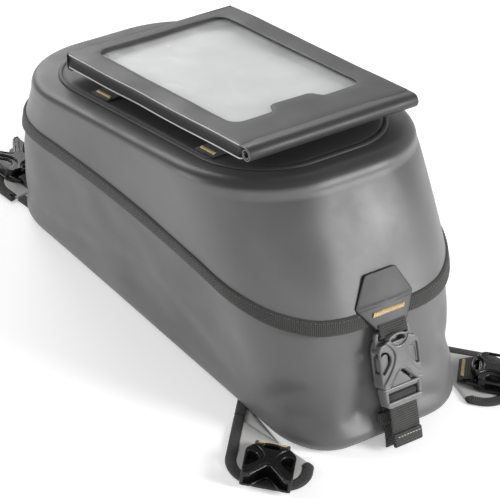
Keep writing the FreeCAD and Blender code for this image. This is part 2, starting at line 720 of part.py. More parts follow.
BUCKLE_TOP = -2.2     # webbing end of the closure buckle below the hexagon
BUCKLE_BACK = -2.4    # back face of the closure buckle, from the closure plane
HEX_WIDEST = 0.45     # share of the hexagon's height
HEX_TACK = 0.24       # bartack's foot, as a share of the hexagon's height
HEX_BEHIND = 0.9      # hexagon's foot behind the closure plane's origin
FRONT_TAB_REACH = 1.9
KEEPER_LOW = -2.9     # keeper's back, from the buckle's back
KEEPER_THICK = 3.6
KEEPER_SIDE = 2.6     # keeper beyond the webbing, each side
KEEPER_PLAY = 0.4


def on_closure(owner):
    """Buckle frame on the closure: its Y runs down the front, its Z outwards."""
    y, z = closure_point(BUCKLE_TOP, BUCKLE_BACK)
    owner.setExpression("Placement.Base.y", y.text)
    owner.setExpression("Placement.Base.z", z.text)
    half_turn = math.radians((90 - sheet.get("closure_lean")) / 2)
    axis = FreeCAD.Vector(0, -math.sin(half_turn), math.cos(half_turn))
    owner.Placement = FreeCAD.Placement(FreeCAD.Vector(0, y.value, z.value), FreeCAD.Rotation(axis, 180))
    return owner


def build_closure():
    top, mid, low, height = [size("hex_" + part) for part in ("half_top", "half_mid", "half_low", "height")]
    patch = plate("hex_patch", [
        (-low, 0), (low, 0), (mid, height * HEX_WIDEST), (top, height), (-top, height), (-mid, height * HEX_WIDEST)],
        size("hex_thick"))
    tack = plate("hex_bartack", rectangle(
        size("bartack_length") * 0.5, height * HEX_TACK, height * HEX_TACK + size("bartack_width")),
        size("bartack_thick"), size("hex_thick") + SKIN_GAP)
    for owner in (patch, tack):
        place(owner, 0, size("closure_y") - HEX_BEHIND, size("closure_z"), (1, 0, 0), number(90) - size("hex_lean"))

    on_closure(build_fold("closure_tab", FRONT_TAB_REACH))
    on_closure(build_female("closure_female"))
    build_male("closure_male", "strap_tail")
    for made in PARTS[-2:]:
        on_closure(made)
    # the buckle frame faces down the strap, so its +X is the bag's left
    on_closure(build_latch("latch_left", 1))
    on_closure(build_latch("latch_right", -1))

    # the fixed strap runs up the front wall behind the buckle
    strap_low, strap_high = size("strap_low"), size("strap_low") + size("web_thick")
    strap = plate("closure_strap", rectangle(size("web_half"), size("strap_start"), size("strap_end")),
                  size("web_thick"), strap_low)
    on_closure(strap)
    keeper = body("strap_keeper")
    near, far = size("keeper_start"), size("keeper_start") + size("keeper_width")
    add_plate(keeper, "keeper_block", rectangle(size("web_half") + KEEPER_SIDE, near, far), KEEPER_THICK, KEEPER_LOW)
    under = new_sketch(keeper, "keeper_bore_outline", role="YZ_Plane")
    low, high = strap_low - KEEPER_PLAY * 0.5, strap_high + KEEPER_PLAY * 0.5
    polygon(under, [(near - PAST, low), (far + PAST, low), (far + PAST, high), (near - PAST, high)])
    pocket(keeper, "keeper_bore", under, size("web_half") * 2 + KEEPER_PLAY * 2, both_ways=True)
    on_closure(keeper)


# ---------------------------------------------------------------- holding wings

def wing_turn(end):
    """Cosine and sine of the turn that takes +Y to a left-hand wing's direction."""
    if end == "front":
        return -cosine("front_wing_angle"), sine("front_wing_angle")
    return cosine("rear_wing_angle"), sine("rear_wing_angle")


def wing_point(end, side, x, y):
    """Bag-frame X and Y of a point in a wing's own frame; side is -1 on the left."""
    turn_cos, turn_sin = wing_turn(end)
    x, y = number(x), number(y)
    across = -size(end + "_wing_x") + turn_cos * x - turn_sin * y
    along = size(end + "_wing_y") + turn_sin * x + turn_cos * y
    return across * -side, along


def on_wing(owner, end, side, x=0, y=0, z=0):
    spot_x, spot_y = wing_point(end, side, x, y)
    angle = number(180) - size("front_wing_angle") if end == "front" else size("rear_wing_angle")
    return place(owner, spot_x, spot_y, z, (0, 0, -side), angle)


def wing_root(end, x):
    """Height of the root edge at a distance across a left-hand wing."""
    return size(end + "_wing_root") - size(end + "_wing_skew") * x


def wing_outline(sketch, end, side, half, length, radius, back=0):
    """Wing outline with two rounded far corners and a root edge that may be skewed."""
    left_root = wing_root(end, half * side) - back
    right_root = wing_root(end, -half * side) - back
    first = sketch.GeometryCount
    left = Part.ArcOfCircle(Part.Circle(vector((-half + radius, length - radius)), FreeCAD.Vector(0, 0, 1),
                                        radius.value), math.pi / 2, math.pi)
    right = Part.ArcOfCircle(Part.Circle(vector((half - radius, length - radius)), FreeCAD.Vector(0, 0, 1),
                                         radius.value), 0, math.pi / 2)
    sketch.addGeometry(left)
    sketch.addGeometry(Part.LineSegment(vector((-half, length - radius)), vector((-half, left_root))))
    sketch.addGeometry(Part.LineSegment(vector((-half, left_root)), vector((half, right_root))))
    sketch.addGeometry(Part.LineSegment(vector((half, right_root)), vector((half, length - radius))))
    sketch.addGeometry(right)
    sketch.addGeometry(Part.LineSegment(vector((half - radius, length)), vector((-half + radius, length))))
    joins = [(0, 2, 1, 1), (1, 2, 2, 1), (2, 2, 3, 1), (3, 2, 4, 1), (4, 2, 5, 1), (5, 2, 0, 1)]
    for one, one_end, two, two_end in joins:
        sketch.addConstraint(Sketcher.Constraint("Coincident", first + one, one_end, first + two, two_end))
    pin_down(sketch, first + 2, 1, -half, left_root)
    pin_down(sketch, first + 2, 2, half, right_root)
    for arc, centre in ((0, -half + radius), (4, half - radius)):
        pin_down(sketch, first + arc, 3, centre, length - radius)
    pin_down(sketch, first, 1, -half + radius, length)
    pin_down(sketch, first + 4, 2, half - radius, length)
    # the arcs' outer ends are fixed by height alone: their radius already fixes them sideways
    for arc, end in ((0, 2), (4, 1)):
        level = sketch.addConstraint(
            Sketcher.Constraint("DistanceY", -1, 1, first + arc, end, (length - radius).value))
        sketch.setExpression("Constraints[%d]" % level, (length - radius).text)


INSIDE_OVERRUN = 40   # the woven edge's hollow runs this far past the root, to leave it open
TAB_TACK_HALF = 9
TAB_TACK_START = -3.6
TAB_TACK_END = -2.0


def build_wing(end, side):
    name = "%s_%s" % (end, "left" if side < 0 else "right")
    half, length, radius = size("wing_half"), size(end + "_wing_length"), size("wing_round")
    band = size("wing_binding")

    pad_part = body("wing_" + name)
    sketch = new_sketch(pad_part, "wing_%s_outline" % name)
    wing_outline(sketch, end, side, half - band, length - band, radius - band)
    pad(pad_part, "wing_%s_pad" % name, sketch, size("wing_thick"))

    edge = body("wing_edge_" + name)
    sketch = new_sketch(edge, "wing_edge_%s_outline" % name)
    wing_outline(sketch, end, side, half, length, radius)
    pad(edge, "wing_edge_%s_pad" % name, sketch, size("wing_edge_thick"))
    hollow = new_sketch(edge, "wing_edge_%s_inside" % name)
    wing_outline(hollow, end, side, half - band, length - band, radius - band, back=INSIDE_OVERRUN)
    pocket(edge, "wing_edge_%s_cut" % name, hollow)

    start = size(end + "_buckle_start")
    lift = size("buckle_rest")
    fold = build_fold("wing_tab_" + name, sheet.get("tab_reach"))
    female = build_female("wing_buckle_" + name)
    tack = plate("tab_bartack_" + name, rectangle(TAB_TACK_HALF, TAB_TACK_START, TAB_TACK_END),
                 size("bartack_thick"), size("web_thick") + (BAR_HIGH + FOLD_GAP + SKIN_GAP))
    for owner in (pad_part, edge):
        on_wing(owner, end, side)
    for owner in (fold, female, tack):
        on_wing(owner, end, side, 0, start, lift)


# ---------------------------------------------------------------- map pouch

def build_pouch():
    half, reach, sheet_thick = size("pouch_half_width"), size("pouch_half_length"), size("pouch_sheet")
    low, high = size("pouch_low"), size("pouch_high")
    inside = low + sheet_thick + SKIN_GAP
    made = []

    made.append(plate("pouch_back", rectangle(half, -reach, reach), sheet_thick, low))
    inset = size("backing_inset")
    made.append(plate("pouch_backing", rectangle(half - inset, inset - reach, reach - inset),
                      size("backing_thick"), inside))
    gusset = plate("pouch_gusset", rectangle(half, -reach, reach), high - SKIN_GAP - inside, inside)
    wall = size("gusset_thick")
    cut_plate(gusset, "gusset_inside", rectangle(half - wall, wall - reach, reach + OPEN_BELOW))
    made.append(gusset)

    frame = plate("pouch_frame", rectangle(half, -reach, reach), sheet_thick, high)
    side, front, rear = size("window_half_width"), -size("window_front"), size("window_rear")
    foot, tip = size("window_tab_half"), size("window_tab_tip")
    tab_end = front + size("window_tab_length")
    cut_plate(frame, "frame_window", [
        (-side, rear), (side, rear), (side, front), (foot, front), (tip, tab_end), (-tip, tab_end),
        (-foot, front), (-side, front)])
    made.append(frame)
    lap = size("film_lap")
    made.append(plate("pouch_window", rectangle(side + lap, front - lap, rear + lap), size("film_thick"),
                      high - size("film_thick") - SKIN_GAP * 2))

    roll = body("pouch_roll")
    profile = new_sketch(roll, "roll_outline", role="YZ_Plane")
    radius = size("roll_radius")
    profile.addGeometry(Part.Circle(FreeCAD.Vector(0, 0, 0), FreeCAD.Vector(0, 0, 1), radius.value))
    pin_down(profile, 0, 3, -reach - radius - SKIN_GAP * 2, low + radius)
    width = profile.addConstraint(Sketcher.Constraint("Radius", 0, radius.value))
    profile.setExpression("Constraints[%d]" % width, radius.text)
    pad(roll, "roll", profile, half * 2, both_ways=True)
    made.append(roll)

    flap_low, flap_high = low - size("flap_drop"), high + sheet_thick
    near = reach + size("flap_gap")
    far = near + size("flap_thick")
    made.append(side_profile("pouch_flap", [
        (near, flap_low), (far, flap_low), (far, flap_high), (near, flap_high)], half))
    for owner in made:
        on_lid(owner, size("pouch_x"), size("pouch_y"), 0)

    pads = body("pouch_grip_pads")
    floor = size("panel_thick") + size("cross_thick") + WEB_PLAY
    half_width = size("grip_width") * 0.5
    for row, y in enumerate(STRAP_ROWS):
        add_plate(pads, "grip_%d" % row, rectangle(size("grip_half"), y - half_width, y + half_width, -size("pouch_x")),
                  low - floor - SKIN_GAP, floor)
    pads.AllowCompound = True
    on_lid(pads, size("pouch_x"), 0, 0)


build_body_shell()
build_collar()
build_base()
build_lid_shell()
build_lid_binding()
build_lid_top()
build_hinge_strip()
build_closure()
for wing_end in ("front", "rear"):
    for wing_side in (-1, 1):
        build_wing(wing_end, wing_side)
build_pouch()
doc.recompute()

# ---------------------------------------------------------------- checks and export

faults = []
for item in doc.Objects:
    if "Invalid" in item.State or "Error" in item.State:
        faults.append("%s is %s" % (item.Name, item.State))
for made in PARTS:
    if made.Shape.isNull() or not made.Shape.isValid() or not made.Shape.Solids:
        faults.append("%s has no valid shape" % made.Label)
if faults:
    raise RuntimeError("; ".join(faults))

os.makedirs("parts", exist_ok=True)
for made in PARTS:
    made.Shape.exportStep("parts/%s.step" % made.Label)
    box = made.Shape.BoundBox
    print("%-26s solids %d  volume %9.1f  x %7.1f %7.1f  y %7.1f %7.1f  z %7.1f %7.1f" % (
        made.Label, len(made.Shape.Solids), made.Shape.Volume,
        box.XMin, box.XMax, box.YMin, box.YMax, box.ZMin, box.ZMax))
print("parts", len(PARTS))
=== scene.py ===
import json
import math
from functools import partial

import bmesh
import bpy
import numpy as np
from mathutils import Matrix, Vector, noise
from mathutils.bvhtree import BVHTree


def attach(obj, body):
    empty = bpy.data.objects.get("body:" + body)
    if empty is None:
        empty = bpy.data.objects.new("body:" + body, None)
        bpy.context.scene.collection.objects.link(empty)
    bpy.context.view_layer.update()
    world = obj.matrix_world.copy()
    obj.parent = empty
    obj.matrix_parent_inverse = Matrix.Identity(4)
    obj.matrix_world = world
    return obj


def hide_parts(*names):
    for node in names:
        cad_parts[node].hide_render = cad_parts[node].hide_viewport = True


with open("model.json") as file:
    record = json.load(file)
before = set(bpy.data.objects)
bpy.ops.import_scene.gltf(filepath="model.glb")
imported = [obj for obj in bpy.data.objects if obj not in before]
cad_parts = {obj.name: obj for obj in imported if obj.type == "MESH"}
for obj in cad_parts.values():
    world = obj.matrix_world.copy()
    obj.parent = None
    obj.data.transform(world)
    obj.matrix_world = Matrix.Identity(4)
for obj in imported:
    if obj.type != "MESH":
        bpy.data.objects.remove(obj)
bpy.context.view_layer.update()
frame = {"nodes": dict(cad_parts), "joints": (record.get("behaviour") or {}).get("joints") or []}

# Tank bag: coated-fabric bag and cap lid, front buckle, four holding wings and a clear-window pouch.
# Local sizes are in millimetres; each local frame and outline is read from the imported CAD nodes.

MM = 0.001
JOINTS = {joint["name"]: joint for joint in frame["joints"]}
WINGS = ("front_left", "front_right", "rear_left", "rear_right")


# ---------------------------------------------------------------- frames and outlines

class Axes:
    """A local frame whose coordinates are millimetres."""

    def __init__(self, y, z, origin=(0, 0, 0)):
        self.y = Vector(y).normalized()
        self.z = Vector(z).normalized()
        self.x = self.y.cross(self.z)
        self.origin = Vector(origin)

    def point(self, x, y, z=0.0):
        return self.origin + (self.x * x + self.y * y + self.z * z) * MM

    def local(self, point):
        offset = (Vector(point) - self.origin) / MM
        return Vector((offset.dot(self.x), offset.dot(self.y), offset.dot(self.z)))

    def span(self, node):
        """Lowest and highest local corner of a CAD node."""
        points = np.array([self.local(v.co) for v in frame["nodes"][node].data.vertices])
        return Vector(points.min(0)), Vector(points.max(0))

    def matrix(self):
        turn = Matrix((self.x, self.y, self.z)).transposed()
        return Matrix.Translation(self.origin) @ turn.to_4x4()


def axes_at(y, z, node, place):
    """Axes whose origin is at shares of a node's box, such as (0.5, 0, 0)."""
    free = Axes(y, z)
    low, high = free.span(node)
    corner = [low[i] + (high[i] - low[i]) * place[i] for i in range(3)]
    return Axes(y, z, free.point(*corner))


def cross_of(axis):
    """Horizontal direction that a wing or its buckle points in, from its hinge axis."""
    return Vector((-axis[1], axis[0], 0))


WORLD = Axes((0, 1, 0), (0, 0, 1))
LID_UP = Vector(JOINTS["pouch_lift"]["axis"])
LID = axes_at(LID_UP.cross((1, 0, 0)), LID_UP, "lid_top_panel", (0.5, 0.5, 0))
DOWN = Vector(JOINTS["buckle_release"]["axis"])
CLOSURE = axes_at(DOWN, JOINTS["latch_right_press"]["axis"], "closure_female", (0.5, 0, 0))


def plate_axes(node, towards, place):
    """Axes on a flat node, with z out of its largest face and y up its slope."""
    mesh = frame["nodes"][node].data
    largest = max(mesh.polygons, key=lambda face: face.area)
    normal = largest.normal if largest.normal.dot(Vector(towards)) > 0 else -largest.normal
    return axes_at(normal.cross((1, 0, 0)), normal, node, place)


HEX = plate_axes("hex_patch", (0, -1, 0), (0.5, 0, 0))


def hull(node, axes):
    """Outline of a CAD node seen down its z axis, anticlockwise, in millimetres."""
    points = sorted({(round(p.x, 3), round(p.y, 3)) for p in (
        axes.local(v.co) for v in frame["nodes"][node].data.vertices)})

    def chain(ordered):
        kept = []
        for p in ordered:
            while len(kept) > 1 and turn(kept[-2], kept[-1], p) <= 1e-4:
                kept.pop()
            kept.append(p)
        return kept[:-1]

    def turn(a, b, c):
        return (b[0] - a[0]) * (c[1] - a[1]) - (b[1] - a[1]) * (c[0] - a[0])

    return np.array(chain(points) + chain(points[::-1]))


def resample(points, spacing, closed=True):
    """The same line with evenly spaced points."""
    points = np.array(points, float)
    if closed:
        points = np.vstack([points, points[:1]])
    steps = np.linalg.norm(np.diff(points, axis=0), axis=1)
    along = np.concatenate([[0], np.cumsum(steps)])
    count = max(3, int(round(along[-1] / spacing)))
    wanted = np.linspace(0, along[-1], count + 1)
    if closed:
        wanted = wanted[:-1]
    return np.stack([np.interp(wanted, along, points[:, i]) for i in range(points.shape[1])], axis=1)


def arc(centre, radius, start, end, steps):
    """Points on an arc, with angles in degrees."""
    return [(centre[0] + radius * math.cos(math.radians(start + (end - start) * k / steps)),
             centre[1] + radius * math.sin(math.radians(start + (end - start) * k / steps)))
            for k in range(steps + 1)]


def rounded(corners, radius, steps=4):
    """A polygon with its corners rounded by quadratic curves."""
    made = []
    count = len(corners)
    for i in range(count):
        here = Vector(corners[i])
        before = Vector(corners[i - 1]) - here
        after = Vector(corners[(i + 1) % count]) - here
        reach = min(radius, before.length * 0.45, after.length * 0.45)
        start = here + before.normalized() * reach
        end = here + after.normalized() * reach
        for k in range(steps + 1):
            t = k / steps
            made.append(tuple(start * (1 - t) ** 2 + here * 2 * t * (1 - t) + end * t * t))
    return made


def smooth(t):
    t = min(1.0, max(0.0, t))
    return t * t * (3 - 2 * t)


# ---------------------------------------------------------------- meshes

def grid_mesh(rows, around=True, loop=False, uv=None):
    """A mesh from rows of points; around joins each row's ends and loop joins the last row to the first."""
    rows = [[Vector(p) for p in row] for row in rows]
    width = len(rows[0])
    verts = [p for row in rows for p in row]
    faces = []
    spots = []
    row_pairs = len(rows) if loop else len(rows) - 1
    column_pairs = width if around else width - 1
    for v in range(row_pairs):
        for u in range(column_pairs):
            v2, u2 = (v + 1) % len(rows), (u + 1) % width
            faces.append((v * width + u, v * width + u2, v2 * width + u2, v2 * width + u))
            spots += [(u, v), (u + 1, v), (u + 1, v + 1), (u, v + 1)]
    mesh = bpy.data.meshes.new("grid")
    mesh.from_pydata(verts, [], faces)
    if uv:
        layer = mesh.uv_layers.new(name="UVMap")
        for item, (u, v) in zip(layer.data, spots):
            item.uv = uv(u, v)
    return mesh


def join(meshes):
    """One mesh from several."""
    whole = bmesh.new()
    for mesh in meshes:
        whole.from_mesh(mesh)
    made = bpy.data.meshes.new("joined")
    whole.to_mesh(made)
    whole.free()
    return made


def weld(mesh, distance=1e-6):
    """Merge points that coincide and turn every face outwards."""
    whole = bmesh.new()
    whole.from_mesh(mesh)
    bmesh.ops.remove_doubles(whole, verts=whole.verts, dist=distance)
    bmesh.ops.dissolve_degenerate(whole, edges=whole.edges, dist=distance)
    bmesh.ops.recalc_face_normals(whole, faces=whole.faces)
    whole.to_mesh(mesh)
    whole.free()
    return mesh


def placed(name, data):
    """A new object in the scene."""
    made = bpy.data.objects.new(name, data)
    bpy.context.scene.collection.objects.link(made)
    return made


def show(name, mesh, body, slot, nodes=(), crease=None):
    """Show a mesh as a piece that rides on a CAD body and stands for CAD nodes."""
    mesh.name = name
    made = placed(name, mesh)
    if not mesh.materials:
        mesh.materials.append(MATERIALS[slot])
    mesh.shade_smooth()
    if crease:
        mesh.set_sharp_from_angle(angle=math.radians(crease))
    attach(made, body)
    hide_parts(*nodes)
    return made


def moulding(axes, loops, low, high, bevel):
    """A plate with rounded edges cut to an outline and holes, between two heights."""
    curve = bpy.data.curves.new("outline", "CURVE")
    curve.dimensions = "2D"
    curve.fill_mode = "BOTH"
    curve.extrude = max(0.0, (high - low) / 2 - bevel) * MM
    curve.bevel_depth = bevel * MM
    curve.bevel_resolution = 3
    curve.offset = -bevel * MM
    for number, loop in enumerate(loops):
        loop = anticlockwise(loop)
        if number:
            loop = loop[::-1]
        spline = curve.splines.new("POLY")
        spline.points.add(len(loop) - 1)
        for spot, (x, y) in zip(spline.points, loop):
            spot.co = (x * MM, y * MM, 0, 1)
        spline.use_cyclic_u = True
    holder = placed("outline", curve)
    graph = bpy.context.evaluated_depsgraph_get()
    mesh = bpy.data.meshes.new_from_object(holder.evaluated_get(graph))
    bpy.data.objects.remove(holder)
    mesh.transform(axes.matrix() @ Matrix.Translation((0, 0, (low + high) / 2 * MM)))
    mesh.materials.clear()
    return mesh


def anticlockwise(loop):
    area = sum(a[0] * b[1] - b[0] * a[1] for a, b in zip(loop, loop[1:] + loop[:1]))
    return loop if area > 0 else loop[::-1]


def mirrored(loop):
    return [(-x, y) for x, y in loop]


def dome(axes, outline, rows):
    """A closed cushion-like form: rows of (scale towards the middle, height function)."""
    outline = np.array(outline)
    middle = outline.mean(0)
    made = []
    for scale, height in rows:
        loop = middle + (outline - middle) * scale
        made.append([axes.point(x, y, height(x, y) if callable(height) else height) for x, y in loop])
    return weld(grid_mesh(made))


def section_of(half, thick, across=8, turn=4):
    """Cross-section of webbing: flat faces and half-round edges, anticlockwise."""
    radius = thick / 2
    flat = half - radius
    points = [(flat * (2 * k / across - 1), radius) for k in range(across + 1)][::-1]
    points += [(x - flat, y) for x, y in arc((0, 0), radius, 90, 270, turn)[1:-1]]
    points += [(flat * (2 * k / across - 1), -radius) for k in range(across + 1)]
    points += [(x + flat, y) for x, y in arc((0, 0), radius, -90, 90, turn)[1:-1]]
    return points


def ribbon(path, across, half, thick):
    """Webbing along a path; across is its width direction. UVs are millimetres along and across."""
    section = section_of(half, thick)
    path = [Vector(p) for p in path]
    side = Vector(across).normalized()
    rows = []
    lengths = [0.0]
    for i, here in enumerate(path):
        ahead = path[min(i + 1, len(path) - 1)]
        behind = path[max(i - 1, 0)]
        normal = Vector(across).cross(ahead - behind).normalized()
        rows.append([here + (side * a + normal * n) * MM for a, n in section])
        if i:
            lengths.append(lengths[-1] + (here - path[i - 1]).length / MM)
    count = len(section)
    return capped(grid_mesh(rows, uv=lambda u, v: (lengths[v], section[u % count][0])))


def capped(mesh):
    """Fill the open ends."""
    whole = bmesh.new()
    whole.from_mesh(mesh)
    bmesh.ops.holes_fill(whole, edges=[e for e in whole.edges if e.is_boundary], sides=0)
    bmesh.ops.recalc_face_normals(whole, faces=whole.faces)
    whole.to_mesh(mesh)
    whole.free()
    return mesh


def tube(path, radius, up, sides=8):
    """A round thread or rod along a path."""
    rows = []
    for i, here in enumerate(path):
        ahead = Vector(path[min(i + 1, len(path) - 1)])
        behind = Vector(path[max(i - 1, 0)])
        side = (ahead - behind).cross(up).normalized()
        rise = side.cross(ahead - behind).normalized()
        rows.append([Vector(here) + (side * math.cos(2 * math.pi * k / sides)
                                     + rise * math.sin(2 * math.pi * k / sides)) * radius * MM
                     for k in range(sides)])
    return capped(grid_mesh(rows))


def curved(points, steps=8):
    """A smooth line through the points."""
    points = [Vector(p) for p in points]
    made = []
    for i in range(len(points) - 1):
        a = points[max(i - 1, 0)]
        b, c = points[i], points[i + 1]
        d = points[min(i + 2, len(points) - 1)]
        for k in range(steps):
            t = k / steps
            made.append(0.5 * (2 * b + (c - a) * t + (2 * a - 5 * b + 4 * c - d) * t * t
                               + (3 * b - a - 3 * c + d) * t ** 3))
    return made + [points[-1]]


# ---------------------------------------------------------------- materials

class Shader:
    """A Principled material and short ways to add nodes to it."""

    def __init__(self, name):
        self.material = bpy.data.materials.new(name)
        self.material.use_nodes = True
        self.tree = self.material.node_tree
        self.surface = self.tree.nodes["Principled BSDF"]

    def add(self, kind, links=(), **settings):
        made = self.tree.nodes.new(kind)
        for key, value in settings.items():
            setattr(made, key, value)
        for socket, value in links:
            self.put(made.inputs[socket], value)
        return made

    def put(self, socket, value):
        if isinstance(value, bpy.types.NodeSocket):
            self.tree.links.new(value, socket)
        else:
            socket.default_value = value

    def set(self, **values):
        for key, value in values.items():
            self.put(self.surface.inputs[key.replace("_", " ")], value)

    def place(self):
        return self.add("ShaderNodeTexCoord").outputs["Object"]

    def noise(self, scale, detail=3.0):
        return self.add("ShaderNodeTexNoise", [
            ("Vector", self.place()), ("Scale", scale), ("Detail", detail)]).outputs[0]

    def wave(self, scale, direction, distortion=0.0):
        return self.add("ShaderNodeTexWave", [
            ("Vector", self.place()), ("Scale", scale), ("Distortion", distortion)],
            bands_direction=direction).outputs[1]

    def maths(self, operation, a, b=0.0):
        return self.add("ShaderNodeMath", [(0, a), (1, b)], operation=operation).outputs[0]

    def spread(self, value, low, high):
        """Map 0.3..0.7 of a noise onto low..high."""
        return self.add("ShaderNodeMapRange", [
            ("Value", value), ("From Min", 0.3), ("From Max", 0.7),
            ("To Min", low), ("To Max", high)]).outputs[0]

    def tint(self, value, dark, light):
        ramp = self.add("ShaderNodeValToRGB", [("Fac", value)])
        ramp.color_ramp.elements[0].position = 0.32
        ramp.color_ramp.elements[0].color = (*dark, 1)
        ramp.color_ramp.elements[1].position = 0.68
        ramp.color_ramp.elements[1].color = (*light, 1)
        return ramp.outputs[0]

    def bump(self, height, strength, distance, below=None):
        links = [("Height", height), ("Strength", strength), ("Distance", distance)]
        if below:
            links.append(("Normal", below))
        return self.add("ShaderNodeBump", links).outputs[0]


def grey(value, warm=0.0):
    return (value * (1 + warm), value, value * (1 - warm))


def coated_fabric(name, dark, light, rough, weave, crown=1.0):
    """Matt coated cloth: soft clouds of shade, scuffs, a fine grain and a faint weave under the coating.

    crown paints shade: it darkens the parts that face the lid's top, as the top lies in less light than the
    sides.
    """
    s = Shader(name)
    shade = s.tint(s.noise(9, 4), grey(dark), grey(light))
    # painted shade: the more a face points up the lid, the darker its colour, down to crown times its tone
    if crown < 1:
        normal = s.add("ShaderNodeTexCoord").outputs["Normal"]
        facing = s.add("ShaderNodeVectorMath", [(0, normal), (1, LID_UP)],
                       operation="DOT_PRODUCT").outputs["Value"]
        painted_top_shade = s.add("ShaderNodeMapRange", [
            ("Value", facing), ("From Min", 0.30), ("From Max", 0.56),
            ("To Min", 1.0), ("To Max", crown)])
        shade = s.add("ShaderNodeVectorMath", [(0, shade), ("Scale", painted_top_shade.outputs[0])],
                      operation="SCALE").outputs[0]
    s.set(Base_Color=shade)
    s.set(Roughness=s.spread(s.noise(26, 5), rough - 0.06, rough + 0.07))
    s.set(Specular_IOR_Level=0.36, Sheen_Weight=0.04, Sheen_Roughness=0.5)
    grain = s.bump(s.noise(1900, 2), 0.22, 0.0002)
    threads = s.bump(s.wave(260, "DIAGONAL", 1.5), weave, 0.00015, grain)
    dimples = s.bump(s.noise(48, 3), 0.10, 0.002, threads)
    s.set(Normal=dimples)
    return s.material


def woven(name, dark, light, rib, hatch, depth=0.6):
    """Ribbed tape or webbing: ribs across its length and a hatch that shifts from rib to rib."""
    s = Shader(name)
    split = s.add("ShaderNodeSeparateXYZ", [("Vector", s.add("ShaderNodeTexCoord").outputs["UV"])])
    along = s.maths("DIVIDE", split.outputs[0], rib)
    across = s.maths("DIVIDE", split.outputs[1], hatch)
    ridge = s.maths("ABSOLUTE", s.maths("SINE", s.maths("MULTIPLY", along, math.pi)))
    shifted = s.maths("ADD", across, s.maths("MULTIPLY", s.maths("FLOOR", along), 0.5))
    hatching = s.maths("ABSOLUTE", s.maths("SINE", s.maths("MULTIPLY", shifted, math.pi)))
    height = s.maths("ADD", ridge, s.maths("MULTIPLY", hatching, 0.6))
    wear = s.noise(150, 4)
    shade = s.maths("ADD", s.maths("MULTIPLY", height, 0.32), s.maths("MULTIPLY", wear, 0.5))
    s.set(Base_Color=s.tint(shade, grey(dark, 0.02), grey(light, 0.02)))
    s.set(Roughness=s.spread(wear, 0.66, 0.86), Specular_IOR_Level=0.3, Sheen_Weight=0.12)
    s.set(Normal=s.bump(s.noise(3500, 2), 0.12, 0.0002, s.bump(height, depth, 0.0005)))
    return s.material


def moulded(name, dark, light, rough, gloss):
    """Injection-moulded plastic with a fine spark grain, soft flow marks and rubbed patches."""
    s = Shader(name)
    s.set(Base_Color=s.tint(s.noise(60, 3), grey(dark), grey(light)))
    s.set(Roughness=s.spread(s.noise(210, 4), rough - 0.05, rough + 0.08), Specular_IOR_Level=gloss)
    s.set(Normal=s.bump(s.noise(2600, 2), 0.06, 0.0002, s.bump(s.noise(120, 2), 0.03, 0.0002)))
    return s.material


def thread(name, dark, light):
    """Twisted sewing thread."""
    s = Shader(name)
    s.set(Base_Color=s.tint(s.noise(1400, 3), dark, light), Roughness=s.spread(s.noise(900), 0.5, 0.7))
    s.set(Sheen_Weight=0.3)
    s.set(Normal=s.bump(s.wave(700, "DIAGONAL"), 0.4, 0.0002))
    return s.material


def lining(name, dark, light):
    """Pale wing lining with a fine straight weave and handling marks."""
    s = Shader(name)
    s.set(Base_Color=s.tint(s.noise(38, 5), grey(dark, 0.01), grey(light, 0.01)))
    s.set(Roughness=s.spread(s.noise(90), 0.72, 0.9), Sheen_Weight=0.15)
    weave = s.bump(s.maths("ADD", s.wave(330, "X"), s.wave(330, "Y")), 0.35, 0.0002)
    s.set(Normal=s.bump(s.noise(70, 3), 0.2, 0.001, weave))
    return s.material


def foam(name, dark, light):
    """Closed-cell foam."""
    s = Shader(name)
    cells = s.add("ShaderNodeTexVoronoi", [("Vector", s.place()), ("Scale", 900)]).outputs[0]
    s.set(Base_Color=s.tint(s.noise(80, 4), grey(dark), grey(light)))
    s.set(Roughness=s.spread(s.noise(300), 0.8, 0.95))
    s.set(Normal=s.bump(cells, 0.5, 0.0004))
    return s.material


def film(name):
    """Clear flexible film with faint waves that catch the light."""
    s = Shader(name)
    s.set(Base_Color=s.tint(s.noise(30, 2), (0.90, 0.91, 0.92), (0.97, 0.98, 0.98)))
    s.set(Roughness=s.spread(s.noise(75, 3), 0.10, 0.22), Specular_IOR_Level=0.6)
    s.set(Alpha=s.spread(s.noise(14, 3), 0.10, 0.22))
    s.set(Normal=s.bump(s.noise(22, 3), 0.35, 0.004))
    return s.material


MATERIALS = {
    "wall_fabric": coated_fabric("wall_fabric", 0.094, 0.128, 0.42, 0.06),
    # lid cloth, with painted shade on the faces that point up the lid
    "lid_fabric": coated_fabric("lid_fabric", 0.104, 0.136, 0.40, 0.06, crown=0.28),
    # dark cloth of the lid's top panel, collar, sole and hinge tape; its value is set lower still as painted
    # shade for the lid's top
    "panel_fabric": coated_fabric("panel_fabric", 0.019, 0.030, 0.52, 0.12),
    "binding": woven("binding", 0.010, 0.052, 1.5, 1.1),
    "webbing": woven("webbing", 0.010, 0.060, 1.7, 1.3, 0.8),
    "thread": thread("thread", (0.52, 0.35, 0.12), (0.90, 0.74, 0.42)),
    "foam": foam("foam", 0.012, 0.025),
    "board": moulded("board", 0.012, 0.02, 0.6, 0.4),
    "patch": coated_fabric("patch", 0.042, 0.056, 0.50, 0.04),
    "buckle_grey": moulded("buckle_grey", 0.115, 0.160, 0.36, 0.5),
    "buckle_black": moulded("buckle_black", 0.006, 0.010, 0.23, 0.42),
    "wing_pad": lining("wing_pad", 0.44, 0.58),
    "pouch_grey": coated_fabric("pouch_grey", 0.026, 0.042, 0.46, 0.05),
    "pouch_pale": coated_fabric("pouch_pale", 0.56, 0.68, 0.5, 0.05),
    "clear_film": film("clear_film"),
}
CUT_EDGE = coated_fabric("cut_edge", 0.36, 0.55, 0.6, 0.05)
ROLL_EDGE = coated_fabric("roll_edge", 0.10, 0.20, 0.6, 0.05)
